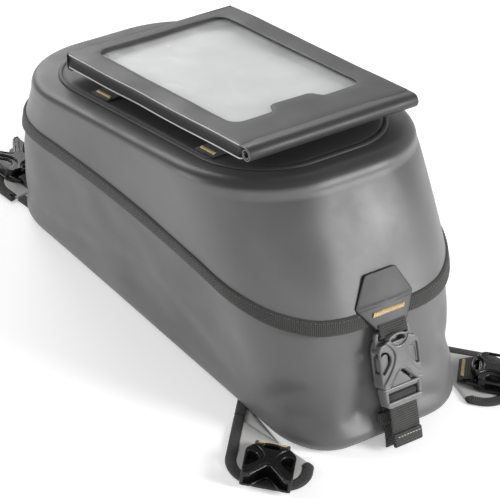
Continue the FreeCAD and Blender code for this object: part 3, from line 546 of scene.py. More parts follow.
DARK_EDGE = coated_fabric("dark_edge", 0.010, 0.020, 0.7, 0.05)
DARK_THREAD = thread("dark_thread", (0.02, 0.02, 0.02), (0.06, 0.06, 0.06))
PALE_THREAD = thread("pale_thread", (0.32, 0.31, 0.29), (0.62, 0.60, 0.56))


def second_finish(made, material, chosen):
    """Give the chosen faces of a piece a second material, such as the look of a cut edge."""
    made.data.materials.append(material)
    for face in made.data.polygons:
        if chosen(face):
            face.material_index = 1


def rim_finish(made, axes, outline, share):
    """Carry a cut edge's second material a little way over the rim of a flat patch."""
    middle = np.array(outline).mean(0)
    spots = np.array(outline) - middle
    bearings = np.arctan2(spots[:, 1], spots[:, 0])
    for face in made.data.polygons:
        place = axes.local(face.center)
        x, y = place.x - middle[0], place.y - middle[1]
        turn = (bearings - math.atan2(y, x) + math.pi) % (2 * math.pi) - math.pi
        if math.hypot(x, y) > share * np.linalg.norm(spots[np.abs(turn).argmin()]):
            face.material_index = 1


# ---------------------------------------------------------------- bag and lid skins

FAN = 76              # spokes round each end
SIDE = 42             # spokes along each side
CENTRE_FRONT = -82    # y that the front end's spokes fan out from
CENTRE_REAR = 84
FAR = 400.0           # rays start this far out from the centre line


def spokes():
    """Directions round the bag: fans at both ends and parallel ones along the sides, anticlockwise."""
    made = []
    for k in range(FAN):
        angle = math.pi * (1 + k / FAN)
        made.append((CENTRE_FRONT, math.cos(angle), math.sin(angle)))
    for k in range(SIDE):
        made.append((CENTRE_FRONT + (CENTRE_REAR - CENTRE_FRONT) * k / SIDE, 1.0, 0.0))
    for k in range(FAN):
        angle = math.pi * k / FAN
        made.append((CENTRE_REAR, math.cos(angle), math.sin(angle)))
    for k in range(SIDE):
        made.append((CENTRE_REAR + (CENTRE_FRONT - CENTRE_REAR) * k / SIDE, -1.0, 0.0))
    return made


SPOKES = spokes()


class Wall:
    """The outer face of a CAD shell, found along the spokes of a local frame."""

    def __init__(self, node, axes):
        mesh = frame["nodes"][node].data
        self.tree = BVHTree.FromPolygons([v.co for v in mesh.vertices], [f.vertices for f in mesh.polygons])
        self.axes = axes

    def direction(self, spoke):
        return self.axes.x * spoke[1] + self.axes.y * spoke[2]

    def centre(self, spoke, height):
        return self.axes.point(0, spoke[0], height)

    def reach(self, spoke, height):
        """Distance in millimetres from the centre line to the outer face, or None past its edge."""
        away = self.direction(spoke)
        start = self.centre(spoke, height) + away * (FAR * MM)
        hit = self.tree.ray_cast(start, -away, (FAR - 15) * MM)
        return None if hit[0] is None else FAR - hit[3] / MM

    def spot(self, spoke, height, inset=0.0, reach=None):
        reach = self.reach(spoke, height) if reach is None else reach
        return self.centre(spoke, height) + self.direction(spoke) * (reach - inset) * MM

    def limit(self, spoke, start, step, outside=lambda spot: False):
        """Last height from start on where the shell is there and the outside test is false."""
        here = start
        for _ in range(11):
            ahead = here + step
            reach = self.reach(spoke, ahead)
            if reach is None or outside(self.spot(spoke, ahead, reach=reach)):
                step /= 2
            else:
                here = ahead
        return here


def edge_line():
    """The lid's lower edge seen from the side, as a parabola of height against y, in millimetres."""
    points = np.array([WORLD.local(v.co) for v in frame["nodes"]["lid_binding"].data.vertices])
    lowest = [points[np.abs(points[:, 1] - y) < 14][:, 1:] for y in range(-180, 181, 24)]
    spots = np.array([group[group[:, 1].argmin()] for group in lowest if len(group)])
    return np.poly1d(np.polyfit(spots[:, 0], spots[:, 1], 2))


EDGE = edge_line()
BODY_WALL = Wall("body_shell", WORLD)
COLLAR_WALL = Wall("opening_collar", WORLD)
LID_WALL = Wall("lid_shell", LID)

# soft hollows pressed into the wall: centre x, y, z, radius across, radius up, depth
HOLLOWS = [
    (-30, -184, 42, 13, 42, 7.0),
    (34, -182, 50, 15, 20, 6.0),
    (60, -160, 62, 14, 15, 4.4),
    (-66, -160, 26, 20, 18, 5.2),
    (84, -124, 30, 18, 22, 3.6),
    (88, -96, 62, 16, 16, 2.6),
    (-92, 20, 34, 70, 16, 2.8),
    (-88, -80, 60, 24, 14, 2.0),
    (94, 10, 40, 80, 20, 2.6),
    (-50, 178, 40, 22, 24, 3.6),
    (40, 180, 36, 24, 22, 3.2),
]

# long soft creases: a point on each, the way it runs, half length, half width, depth
CREASES = [
    ((-27, -184, 46), (-0.12, 0.0, -1.0), 44, 6.5, 5.5),
    ((-48, -180, 62), (-1.0, 0.3, -0.35), 22, 5.0, 2.6),
    ((44, -180, 64), (0.9, 0.35, -0.5), 26, 5.0, 4.6),
    ((66, -160, 44), (0.75, 0.6, -0.6), 26, 5.5, 4.2),
    ((84, -128, 30), (0.2, 0.9, 0.8), 26, 5.5, 4.0),
    ((36, -184, 20), (1.0, 0.1, -0.3), 26, 5.0, 3.6),
    ((-76, -150, 40), (-0.4, 0.9, -0.8), 30, 6.0, 3.0),
    ((-90, -60, 34), (0.0, 1.0, 0.35), 60, 8.0, 2.0),
    ((-92, 70, 30), (0.0, 1.0, -0.25), 50, 8.0, 1.8),
    ((92, -30, 40), (0.0, 1.0, 0.4), 50, 7.0, 2.2),
    ((92, 90, 34), (0.0, 1.0, -0.3), 40, 7.0, 2.0),
    ((-56, 172, 36), (0.8, 0.5, -0.6), 30, 6.0, 2.6),
    ((52, 174, 40), (0.8, -0.5, 0.5), 30, 6.0, 2.4),
]


def slack(point):
    """How far the soft wall lies inside its drawn line, in millimetres."""
    p = Vector(point) / MM
    depth = 0.0
    for x, y, z, across, up, deep in HOLLOWS:
        flat = ((p.x - x) ** 2 + (p.y - y) ** 2) / across ** 2
        depth += deep * math.exp(-flat - ((p.z - z) / up) ** 2)
    for place, way, along, across, deep in CREASES:
        offset = p - Vector(place)
        run = offset.dot(Vector(way).normalized())
        aside = offset.length_squared - run ** 2
        depth += deep * math.exp(-(run / along) ** 2 - aside / across ** 2)
    depth += 2.2 * noise.noise(p / 46) + 1.1 * noise.noise(p / 19 + Vector((7, 3, 1)))
    return max(depth + 0.9, -0.6)


def eased(columns, passes=3):
    """Even out neighbouring spokes, so that the facets of the CAD mesh don't show."""
    for _ in range(passes):
        following = columns[1:] + columns[:1]
        columns = [[(a + b * 2 + c) / 4 for a, b, c in zip(columns[i - 1], here, following[i])]
                   for i, here in enumerate(columns)]
    return columns


def skin_rows(columns):
    """Rows of a grid mesh from the spokes' profiles."""
    return [list(row) for row in zip(*columns)]


def body_column(spoke):
    """One spoke's profile of the bag: underside, rounded foot, wall, rim, inside wall and floor."""
    foot, sole, wall, floor = 11.0, 0.4, 4.0, 7.0
    steps = 30
    at = partial(BODY_WALL.spot, spoke)
    rim = BODY_WALL.limit(spoke, 30, 40) - 0.2
    base = BODY_WALL.reach(spoke, foot + sole)
    points = [at(sole, reach=reach) for reach in (0, 30, 60)]
    for degrees in range(0, 90, 15):
        angle = math.radians(degrees)
        points.append(at(sole + foot * (1 - math.cos(angle)), inset=foot * (1 - math.sin(angle)), reach=base))
    outer = []
    for k in range(steps + 1):
        height = sole + foot + (rim - sole - foot) * k / steps
        reach = BODY_WALL.reach(spoke, height)
        fade = min(1.0, k / 5) * min(1.0, (steps - k) / 4)
        outer.append((height, reach - slack(at(height, reach=reach)) * fade))
    points += [at(height, reach=reach) for height, reach in outer]
    points += [at(rim + rise, inset=inset, reach=outer[-1][1])
               for rise, inset in ((0.8, 0.8), (1.0, 2.0), (0.8, 3.2))]
    points += [at(max(height, floor + 0.2), inset=wall, reach=reach) for height, reach in outer[::-1]]
    points += [at(floor, inset=inset, reach=outer[0][1]) for inset in (8.0, 14.0)]
    points += [at(floor, reach=reach) for reach in (30.0, 0.0)]
    return points


def build_body():
    rows = skin_rows(eased([body_column(spoke) for spoke in SPOKES]))
    show("bag_body", weld(grid_mesh(rows), distance=2e-5), "bag", "wall_fabric", ["body_shell"])


def collar_column(spoke):
    """One spoke's profile of the collar: outside, rounded rim and inside."""
    thick = 2.2
    steps = 8
    at = partial(COLLAR_WALL.spot, spoke)
    inside = EDGE(at(92, reach=90).y / MM) + 9
    low = COLLAR_WALL.limit(spoke, inside, -8)
    high = COLLAR_WALL.limit(spoke, inside, 8)
    outer = []
    for k in range(steps + 1):
        height = low + (high - low) * k / steps
        reach = COLLAR_WALL.reach(spoke, height)
        outer.append((height, reach - 0.5 * noise.noise(at(height, reach=reach) * 40)))
    return ([at(height, reach=reach) for height, reach in outer]
            + [at(high + 0.5, inset=thick / 2, reach=outer[-1][1])]
            + [at(height, inset=thick, reach=reach) for height, reach in outer[::-1]])


def build_collar():
    """Thin collar that stands in the opening under the lid."""
    rows = skin_rows(eased([collar_column(spoke) for spoke in SPOKES]))
    show("bag_collar", grid_mesh(rows, loop=True), "bag", "panel_fabric", ["opening_collar"])


ROUND = 11.0      # shoulder radius of the lid
SKIN = 2.7        # lid wall
ROOF = 8.0        # lid thickness at the top
TAPE = 11.0       # width of the tape on the lid's lower edge


def below_edge(point):
    return point.z / MM < EDGE(point.y / MM)


def lid_edge(spoke):
    """Height of the lid's lower edge on one spoke."""
    return LID_WALL.limit(spoke, -30, -20, below_edge)


def lid_wall_rows(spoke):
    """Heights and reaches of the lid's wall from its lower edge to the shoulder."""
    low = lid_edge(spoke)
    made = []
    steps = 26
    for k in range(steps + 1):
        height = low + (-ROUND - low) * k / steps
        reach = LID_WALL.reach(spoke, height)
        ease = smooth(k / 6) * smooth((steps - k) / 8)
        wave = 0.9 * noise.noise(LID_WALL.spot(spoke, height, reach=reach) * 24) + 0.4
        made.append((height, reach - wave * ease))
    return made


def lid_column(spoke):
    """One spoke's profile of the lid, whose shoulder is tighter towards the rear."""
    at = partial(LID_WALL.spot, spoke)
    wall = lid_wall_rows(spoke)
    top = wall[-1][1]
    rearward = smooth((at(-ROUND, reach=top).y / MM + 90) / 150)
    tightness = 2 / (2 + 1.8 * rearward)
    points = [at(height, reach=reach) for height, reach in wall]
    for degrees in (6, 14, 24, 34, 45, 56, 66, 76, 84, 90):
        angle = math.radians(degrees)
        rise, inset = math.sin(angle) ** tightness, 1 - max(0.0, math.cos(angle)) ** tightness
        points.append(at(-ROUND + ROUND * rise, inset=ROUND * inset, reach=top))
    for share in (0.94, 0.85, 0.70, 0.45, 0.2, 0.0):
        points.append(at(-0.5 * smooth((1 - share) * 3), reach=(top - ROUND) * share))
    for share in (0.0, 0.4, 0.75, 0.92):
        points.append(at(-ROOF, reach=(top - SKIN - 4) * share))
    points += [at(-ROOF - drop, inset=SKIN + inset, reach=top) for drop, inset in ((0.6, 2.0), (2.2, 0.5))]
    points += [at(height, inset=SKIN, reach=reach) for height, reach in wall[::-1]]
    return points


def build_lid():
    rows = skin_rows(eased([lid_column(spoke) for spoke in SPOKES]))
    show("lid_skin", weld(grid_mesh(rows, loop=True), distance=2e-5), "lid", "lid_fabric", ["lid_shell"])


def binding_column(spoke, section):
    """One spoke's profile of the folded tape, with the place of its seam as the last point."""
    at = partial(LID_WALL.spot, spoke)
    low = lid_edge(spoke)
    foot = LID_WALL.reach(spoke, low)
    head = LID_WALL.reach(spoke, low + TAPE) or foot
    column = [at(low + rise, reach=foot + (head - foot) * rise / TAPE + out) for rise, out in section]
    return column + [at(low + 9.2, reach=foot + (head - foot) * 0.84 + 1.25)]


def build_binding():
    """Ribbed tape folded over the lid's lower edge, with a row of stitches near its upper border."""
    section = [(0.0, -2.6), (-0.5, -1.0), (0.0, 0.2), (0.6, 0.9), (2.5, 1.2), (5.5, 1.3), (8.5, 1.2),
               (10.4, 0.9), (TAPE, 0.3), (TAPE, -0.1)]
    columns = eased([binding_column(spoke, section) for spoke in SPOKES])
    seams = [column.pop() for column in columns]
    girth = [0.0]
    for a, b in zip(columns, columns[1:] + columns[:1]):
        girth.append(girth[-1] + (b[4] - a[4]).length / MM)
    tape = grid_mesh(skin_rows(columns), uv=lambda u, v: (girth[u], 1.3 * v))
    show("lid_edge_binding", tape, "lid", "binding", ["lid_binding"])
    seam = stitches(seams, LID_WALL.axes.z, pitch=3.1, radius=0.30, closed=True, material=DARK_THREAD)
    show("lid_edge_stitches", seam, "lid", "binding")


def stitches(line, up, pitch, radius, closed=False, material=None):
    """A row of short sewn stitches along a line of points in metres."""
    shown = 0.66    # share of the pitch that lies on the surface
    spots = resample([tuple(Vector(p) / MM) for p in line], pitch, closed)
    meshes = []
    count = len(spots)
    for i in range(count if closed else count - 1):
        here = Vector(spots[i])
        ahead = Vector(spots[(i + 1) % count])
        step = (ahead - here) * shown
        rise = Vector(up).normalized()
        path = [here, here + step * 0.18, here + step * 0.5, here + step * 0.82, here + step]
        meshes.append(tube([p * MM for p in path], radius, rise, 5))
    mesh = join(meshes)
    if material:
        mesh.materials.append(material)
    return mesh


TAB_ROOM = 20.0   # kept clear for a buckle's tab when its wing flexes


def build_sole():
    outline = []
    for spoke in SPOKES:
        reach = BODY_WALL.reach(spoke, 8)
        spot = BODY_WALL.spot(spoke, 8, inset=7, reach=reach) / MM
        outline.append((spot.x, spot.y))
    sole = dome(WORLD, outline, [(0.0, 0.2), (0.97, 0.2), (0.99, 0.5), (1.0, 1.2), (0.99, 2.2), (0.0, 2.2)])
    show("bag_sole", sole, "bag", "panel_fabric", ["base_panel"])


def build_ear(name):
    """An ear of padded cloth with bound sides, which carries the underside out to a wing."""
    reach, gap = 24.0, 1.0
    line = wing_line(name, "wing_edge_" + name)
    axes = WING_AXES[name]

    def across(spot):
        return axes.local(WORLD.point(*spot)).y

    root = min(across(spot) for spot in hull("wing_" + name, WORLD)) - gap
    near, far = [], []
    for end, beside in ((line[0], line[1]), (line[-1], line[-2])):
        way = (end - beside) / np.linalg.norm(end - beside)
        if across(end) - across(end + way) < 0.5:
            way = np.array((-axes.y.x, -axes.y.y))
        start = max(0.0, (across(end) - root) / (across(end) - across(end + way)))
        near.append(end + way * start)
        far.append(end + way * reach)
    for side, run in (("a", (far[0], near[0])), ("b", (near[1], far[1]))):
        if min(abs(axes.local(WORLD.point(*spot)).x) for spot in run) > TAB_ROOM:
            tape = sweep(WORLD, resample(run, 3, closed=False), EDGE_SECTION)
            show("ear_binding_%s_%s" % (name, side), tape, "bag", "binding")
    ear = resample([tuple(p) for p in (far[0], near[0], near[1], far[1])], 3)
    cloth = dome(WORLD, ear, [(0.0, 0.3), (0.96, 0.3), (0.98, 0.6), (0.98, 1.2), (0.96, 1.6), (0.0, 1.7)])
    show("ear_cloth_" + name, cloth, "bag", "wing_pad")


def build_hinge_strip():
    low, high = WORLD.span("lid_hinge_strip")
    middle = (low + high) / 2
    path = curved([WORLD.point(0, low.y + 0.5, low.z), WORLD.point(0, middle.y + 0.4, middle.z),
                   WORLD.point(0, high.y - 0.5, high.z)])
    mesh = ribbon(path, (1, 0, 0), high.x, 1.0)
    show("lid_hinge_tape", mesh, "bag", "panel_fabric", ["lid_hinge_strip"])
    for number, share in enumerate((0.12, 0.88)):
        here = path[round(share * (len(path) - 1))] + Vector((0, 0.75 * MM, 0))
        line = [here + Vector((x * MM, 0, 0)) for x in np.linspace(3 - high.x, high.x - 3, 60)]
        seam = stitches(line, (0, 1, 0), pitch=3.4, radius=0.34, material=PALE_THREAD)
        show("lid_hinge_stitches_%d" % number, seam, "bag", "thread")


# ---------------------------------------------------------------- lid top

STRAP_HALF = 10.0


def bartack(axes, middle, length, width, height, turned=False):
    """A dense bar of slanted stitches."""
    pitch, slant, bulge, thread_radius = 1.15, 1.25, 0.55, 0.46
    count = round(length / pitch)
    meshes = []
    for k in range(count):
        start = -length / 2 + length * k / count
        path = []
        for share in (0.0, 0.2, 0.5, 0.8, 1.0):
            along, across = start + slant * share, width * (share - 0.5)
            x, y = (across, along) if turned else (along, across)
            rise = height + bulge * math.sin(math.pi * share)
            path.append(axes.point(middle[0] + x, middle[1] + y, rise))
        meshes.append(tube(path, thread_radius, axes.z, 6))
    return join(meshes)


def build_lid_panel():
    outline = resample(hull("lid_top_panel", LID), 4)
    top = LID.span("lid_top_panel")[1].z

    def dish(x, y):
        return top - 0.25 + 0.25 * noise.noise(Vector((x, y, 0)) / 40)

    rows = [(0.0, -0.3), (1.0, -0.3), (1.0, 0.7), (0.994, 1.5), (0.986, 1.85), (0.976, 1.7), (0.971, 1.15),
            (0.966, 1.15), (0.961, 1.75)]
    rows += [(share, dish) for share in (0.945, 0.9, 0.8, 0.65, 0.45, 0.2, 0.0)]
    show("lid_top_panel_skin", dome(LID, outline, rows), "lid", "panel_fabric", ["lid_top_panel"])


def build_lid_foam():
    outline = resample(hull("lid_stiffener", LID), 6)
    low, high = LID.span("lid_stiffener")
    sheet = dome(LID, outline, [
        (0.0, low.z), (0.93, low.z + 0.2), (0.98, low.z + 0.9), (1.0, (low.z + high.z) / 2),
        (0.99, high.z - 0.5), (0.97, high.z - 0.1), (0.0, high.z - 0.1)])
    pad = show("lid_foam", sheet, "lid", "foam", ["lid_stiffener"])


def build_cross_straps():
    """Two straps that lie flat under the grip pads and bow up a little beside them."""
    low, high = LID.span("lid_cross_straps")
    flat_half, bow = 34, 1.2
    height = (low.z + high.z) / 2
    tack_x = LID.span("lid_cross_bartacks")[1].x - 1.5
    straps = []
    tacks = []
    for y in (low.y + STRAP_HALF, high.y - STRAP_HALF):
        path = [LID.point(x, y, height + bow * math.cos(math.pi * x / high.x / 2) * (abs(x) > flat_half))
                for x in np.linspace(low.x, high.x, 50)]
        straps.append(ribbon(path, LID.y, STRAP_HALF, high.z - low.z))
        for side in (-1, 1):
            tacks.append(bartack(LID, (side * tack_x, y), length=16, width=3.0, height=high.z, turned=True))
    show("lid_cross_webbing", join(straps), "lid", "webbing", ["lid_cross_straps"])
    show("lid_cross_tacks", join(tacks), "lid", "thread", ["lid_cross_bartacks"])


def build_hexagon():
    low, high = HEX.span("hex_patch")
    thick = high.z - low.z
    outline = resample(rounded(hull("hex_patch", HEX), 2.0), 1.4)
    crease = high.y * 0.43
    half, droop = 26.5, 2.6

    def bent(x, y):
        """Height of the patch, which wraps round the lid and is folded along its crease."""
        round_lid = -(x / half) ** 2 * droop
        fold = -0.7 * math.exp(-((y - crease) / 1.3) ** 2)
        lifted = 1.3 * smooth((crease - y) / crease) - 0.5 * smooth((y - crease) / crease)
        return round_lid + fold + lifted

    rows = [(0.0, bent), (0.5, bent), (1.0, bent),
            (1.0, lambda x, y: bent(x, y) + thick * 0.55), (0.992, lambda x, y: bent(x, y) + thick * 0.9)]
    rows += [(share, lambda x, y: bent(x, y) + thick)
             for share in (0.975, 0.92, 0.84, 0.76, 0.68, 0.6, 0.5, 0.4, 0.3, 0.2, 0.1, 0.0)]
    patch = show("hex_patch_skin", dome(HEX, outline, rows), "lid", "patch", ["hex_patch"], crease=35)
    second_finish(patch, DARK_EDGE, lambda face: abs(face.normal.dot(HEX.z)) < 0.75)
    rim_finish(patch, HEX, outline, 0.966)

    tack_low, tack_high = HEX.span("hex_bartack")
    middle = (0, (tack_low.y + tack_high.y) / 2)
    mesh = bartack(HEX, middle, tack_high.x * 2, tack_high.y - tack_low.y,
                   thick + bent(6, middle[1]) - 0.15)
    show("hex_tack", mesh, "lid", "thread", ["hex_bartack"])


# ---------------------------------------------------------------- buckles and straps

# a buckle's sizes across it, as half widths, and along it from its webbing end
SHELL_HALF = 18.0
NECK_HALF = 15.6
SLOT_HALF = 13.0
SHOULDER = 12.0
MOUTH = 40.0
BACK = 2.2        # top of the back plate
WEB_HALF = 12.5
WEB = 1.6


def even_sided(half_near, near, half_far, far):
    """A four-cornered outline about the centre line, from its near end to its far end."""
    return [(-half_near, near), (half_near, near), (half_far, far), (-half_far, far)]


def shell_walls(axes):
    """Side walls of a female half, each in two lengths with its side window left open between them."""
    made = []
    inner, outer = SHELL_HALF - 2.6, SHELL_HALF - 0.2
    for side in (-1, 1):
        for near, far in ((SHOULDER - 0.5, 14), (29, MOUTH - 0.4)):
            wall = [(side * inner, near), (side * outer, near), (side * outer, far), (side * inner, far)]
            made.append(moulding(axes, [rounded(wall, 0.8)], 0.8, 10.2, 0.7))
    return made


def buckle_neck(axes):
    """Webbing plate with its slot, and the thicker block that joins it to the shell."""
    plate = rounded(even_sided(15, 0, 17, SHOULDER), 2.5)
    slot = rounded(even_sided(SLOT_HALF, 2.6, SLOT_HALF, 6.4), 0.8)
    block = rounded(even_sided(NECK_HALF, 8.6, 17.6, SHOULDER + 0.4), 1.2)
    return [moulding(axes, [plate, slot], 1.8, 5.2, 0.9), moulding(axes, [block], 0.3, 9.4, 1.3)]


def x_outline(notch):
    """The raised X on a buckle's front: four arms with curved flanks. notch is the depth of its mouth."""
    waist, waist_at = 4.6, 18.5
    right = [(8.2, 5.6), (13.4, 7.2)]
    right += [(waist + 0.058 * (y - waist_at) ** 2, y) for y in np.linspace(8.4, waist_at, 7)]
    right += [(waist + 12.6 * ((y - waist_at) / 18) ** 1.6, y) for y in np.linspace(21, 36.5, 7)]
    right += [(17.6, 39.6), (12.4, 39.8)]
    right += [(12.0 * (1 - t), 39.6 - notch * math.sin(t * math.pi / 2)) for t in (0.12, 0.3, 0.5, 0.75, 1.0)]
    top = [(-8.0 * math.cos(t * math.pi / 2), 5.6 + 6.0 * math.sin(t * math.pi / 2))
           for t in (0.25, 0.5, 0.75, 1.0)]
    return right + mirrored(right[::-1])[1:] + top + mirrored(top[::-1])[1:]


def shell_outline(start, lips, apex):
    """Outline of a female half's plate, with a V mouth between its two lips."""
    return rounded([(-NECK_HALF, start), (NECK_HALF, start), (SHELL_HALF, SHOULDER), (SHELL_HALF, MOUTH),
                    (lips, MOUTH), (0, apex), (-lips, MOUTH), (-SHELL_HALF, MOUTH),
                    (-SHELL_HALF, SHOULDER)], 2.2)


def ellipse(centre, across, along, steps=28):
    return [(centre[0] + across * math.cos(2 * math.pi * k / steps),
             centre[1] + along * math.sin(2 * math.pi * k / steps)) for k in range(steps)]


def female_half(axes, notch):
    """Two plates with a V mouth, D-shaped side windows, a raised X, and an eye over the webbing bar."""
    apex = MOUTH - notch
    front = shell_outline(8, 12.5, apex)
    back = shell_outline(6, 10, apex + 4)
    window = rounded([(16.4, 12.8), (16.5, 30.0), (14.4, 29.0), (9.0, 23.6), (7.4, 19.4), (10.2, 14.0)], 2.4)
    lip = [(-17.0, 39.0), (-12.6, 38.6), (-6.0, 39.4 - notch * 0.62)]
    rim = lip + [(0, apex - 0.4)] + mirrored(lip[::-1])
    mouth = curved([axes.point(x, y, 11.2) for x, y in rim], 5)
    eye = [ellipse((0, 6.6), 8.6, 4.2), ellipse((0, 6.8), 6.4, 2.5)]
    return [moulding(axes, [front, window, mirrored(window)], 8.0, 10.4, 0.8),
            moulding(axes, [back], 0.1, BACK, 0.6),
            moulding(axes, [x_outline(notch)], 9.2, 11.7, 0.9),
            moulding(axes, eye, 5.4, 10.8, 0.8),
            tube(mouth, 0.8, axes.z)] + buckle_neck(axes) + shell_walls(axes)


def grey_male(axes):
    """Male half: frame with a webbing slot, beam, posts, a bar over the webbing and the tongue in the V."""
    frame_plate = rounded(even_sided(16.8, 40.4, 15.4, 55.2), 2.4)
    slot = rounded(even_sided(SLOT_HALF, 45.2, SLOT_HALF, 49.8), 0.8)
    beam = rounded(even_sided(16.8, 40.5, 16.4, 44.6), 1.4)
    tongue = rounded([(-10.6, 42), (10.6, 42), (6.5, 36.5), (0, 30.5), (-6.5, 36.5)], 2.0)
    bar = rounded(even_sided(16.4, 50.8, 15.0, 55.4), 2.0)
    made = [moulding(axes, [frame_plate, slot], 1.0, 5.9, 1.2), moulding(axes, [beam], 5.0, 9.6, 1.2),
            moulding(axes, [tongue], 4.2, 8.6, 1.2), moulding(axes, [bar], 8.5, 10.8, 1.0)]
    for side in (-1, 1):
        post = [(side * 13.4, 42.0), (side * 16.8, 42.0), (side * 15.7, 54.4), (side * 13.4, 54.4)]
        made.append(moulding(axes, [rounded(post, 1.4)], 4.6, 10.2, 1.1))
    return made


def webbing(name, axes, points, body, nodes):
    """Webbing whose path is given as (y, z) in a buckle's frame."""
    path = curved([axes.point(0, y, z) for y, z in points])
    show(name, ribbon(path, axes.x, WEB_HALF, WEB), body, "webbing", nodes)


def build_closure():
    show("closure_female_shell", join(female_half(CLOSURE, 11.6)), "lid", "buckle_grey", ["closure_female"],
         crease=40)
    show("closure_male_shell", join(grey_male(CLOSURE)), "male_buckle", "buckle_grey", ["closure_male"],
         crease=40)
    for side in ("left", "right"):
        node = "latch_" + side
        low, high = CLOSURE.span(node)
        arm = rounded([tuple(p) for p in hull(node, CLOSURE)], 1.6)
        show(node + "_arm", moulding(CLOSURE, [arm], low.z, high.z, 0.9), node, "buckle_grey", [node],
             crease=40)
    webbing("closure_tab_webbing", CLOSURE, [
        (-5.5, 1.6), (-1.5, 0.9), (2.2, 0.9), (3.9, 1.6), (4.3, 3.6), (3.7, 5.6), (1.8, 6.2), (-1.5, 6.0),
        (-5.5, 5.2)], "lid", ["closure_tab"])
    build_strap_tail()
    build_closure_strap()


def build_strap_tail():
    """The strap's loose end: up through the male half's slot, down the front, folded over at its tip."""
    end = CLOSURE.span("strap_tail")[1].y
    webbing("strap_tail_webbing", CLOSURE, [
        (46.6, 1.8), (46.4, 4.0), (46.7, 6.4), (48.2, 7.9), (50.2, 7.4), (54.0, 6.9), (60.0, 7.1),
        (68.0, 7.3), (76.0, 7.2), (end - 1.6, 7.2), (end - 0.5, 8.1), (end - 1.6, 9.0), (end - 6.0, 9.0),
        (end - 9.6, 8.9)], "male_buckle", ["strap_tail"])
    line = [CLOSURE.point(x, end - 7.2, 9.8) for x in np.linspace(-10.5, 10.5, 30)]
    seam = stitches(line, CLOSURE.z, pitch=2.6, radius=0.32, material=PALE_THREAD)
    show("strap_tail_stitches", seam, "male_buckle", "thread")


def build_closure_strap():
    """The strap sewn to the bag's front, and the keeper loop round it."""
    low, high = CLOSURE.span("closure_strap")
    height = (low.z + high.z) / 2
    webbing("closure_strap_webbing", CLOSURE, [
        (low.y, height), (low.y + 12, height + 0.2), (high.y - 20, height), (high.y - 4, height - 0.2),
        (high.y, height - 0.8)], "bag", ["closure_strap"])
    low, high = CLOSURE.span("strap_keeper")
    middle = (low.y + high.y) / 2
    flat, bulge = 13.6, 14.7
    around = [(-flat, low.z + 0.4), (flat, low.z + 0.4), (bulge, height), (flat, high.z - 0.4),
              (-flat, high.z - 0.4), (-bulge, height), (-flat, low.z + 0.4)]
    path = curved([CLOSURE.point(x, middle, z) for x, z in around], 6)
    show("strap_keeper_webbing", ribbon(path, CLOSURE.y, (high.y - low.y) / 2, 0.8), "bag", "webbing",
         ["strap_keeper"])


# ---------------------------------------------------------------- holding wings

WING_AXES = {name: axes_at(cross_of(JOINTS["buckle_lift_" + name]["axis"]), (0, 0, 1), "wing_buckle_" + name,
                           (0.5, 0, 0)) for name in WINGS}


def wing_line(name, node):
    """A wing part's outline in the bag's frame, starting and ending at the root edge's corners."""
    outline = hull(node, WORLD)
    away = WING_AXES[name].y
    count = len(outline)

    def towards_bag(i):
        edge = outline[(i + 1) % count] - outline[i]
        normal = Vector((edge[1], -edge[0], 0)).normalized()
        return normal.dot(-away) * min(1.0, np.linalg.norm(edge) / 30)

    root = max(range(count), key=towards_bag)
    order = [(root + 1 + k) % count for k in range(count)]
    return outline[order]


def sweep(axes, path, section):
    """Carry a section of (inset, height) along a line and round off its ends; UVs are millimetres."""
    path = np.array(path)
    middle = np.array(section).mean(0)
    rows = []
    lengths = []
    last = len(path) - 1
    ends = {0: [(0.35, 0.0), (0.8, 0.25), (1.0, 0.9)], last: [(1.0, -0.9), (0.8, -0.25), (0.35, 0.0)]}
    along = 0.0
    for i, here in enumerate(path):
        step = path[min(i + 1, last)] - path[max(i - 1, 0)]
        step = step / np.linalg.norm(step)
        inward = np.array((-step[1], step[0]))
        along += np.linalg.norm(here - path[i - 1]) if i else 0.0
        for scale, shift in ends.get(i, [(1.0, 0.0)]):
            loop = middle + (np.array(section) - middle) * scale
            rows.append([axes.point(*(here + step * shift + inward * inset), height)
                         for inset, height in loop])
            lengths.append(along + shift)
    girth = [0.0]
    for a, b in zip(section, section[1:] + section[:1]):
        girth.append(girth[-1] + math.hypot(b[0] - a[0], b[1] - a[1]))
    return capped(grid_mesh(rows, uv=lambda u, v: (lengths[v], girth[u])))


# folded tape seen end on: inset from the wing's outline and height above the ground
EDGE_SECTION = [(7.4, 2.4), (7.8, 2.9), (7.2, 3.2), (5.0, 3.4), (3.0, 3.4), (1.4, 3.2), (0.4, 2.5),
                (0.0, 1.6), (0.4, 0.7), (1.4, 0.1), (3.0, 0.0), (7.2, 0.1), (7.8, 0.6), (7.4, 1.0)]


def build_wing(name):
    body = "wing_" + name
    line = resample(wing_line(name, "wing_edge_" + name), 2.4, closed=False)
    edge = sweep(WORLD, line, EDGE_SECTION)
    show(body + "_binding", edge, body, "binding", ["wing_edge_" + name])

    outline = resample(hull(body, WORLD), 2.6)

    def crown(x, y):
        return 2.75 + 0.35 * noise.noise(Vector((x, y, 5)) / 14)

    rows = [(0.0, 0.3), (0.9, 0.3), (1.0, 0.6), (1.0, 1.9), (0.97, 2.3)]
    rows += [(share, crown) for share in (0.9, 0.8, 0.65, 0.5, 0.3, 0.0)]
    pad = show(body + "_pad", dome(WORLD, outline, rows), body, "wing_pad", [body])


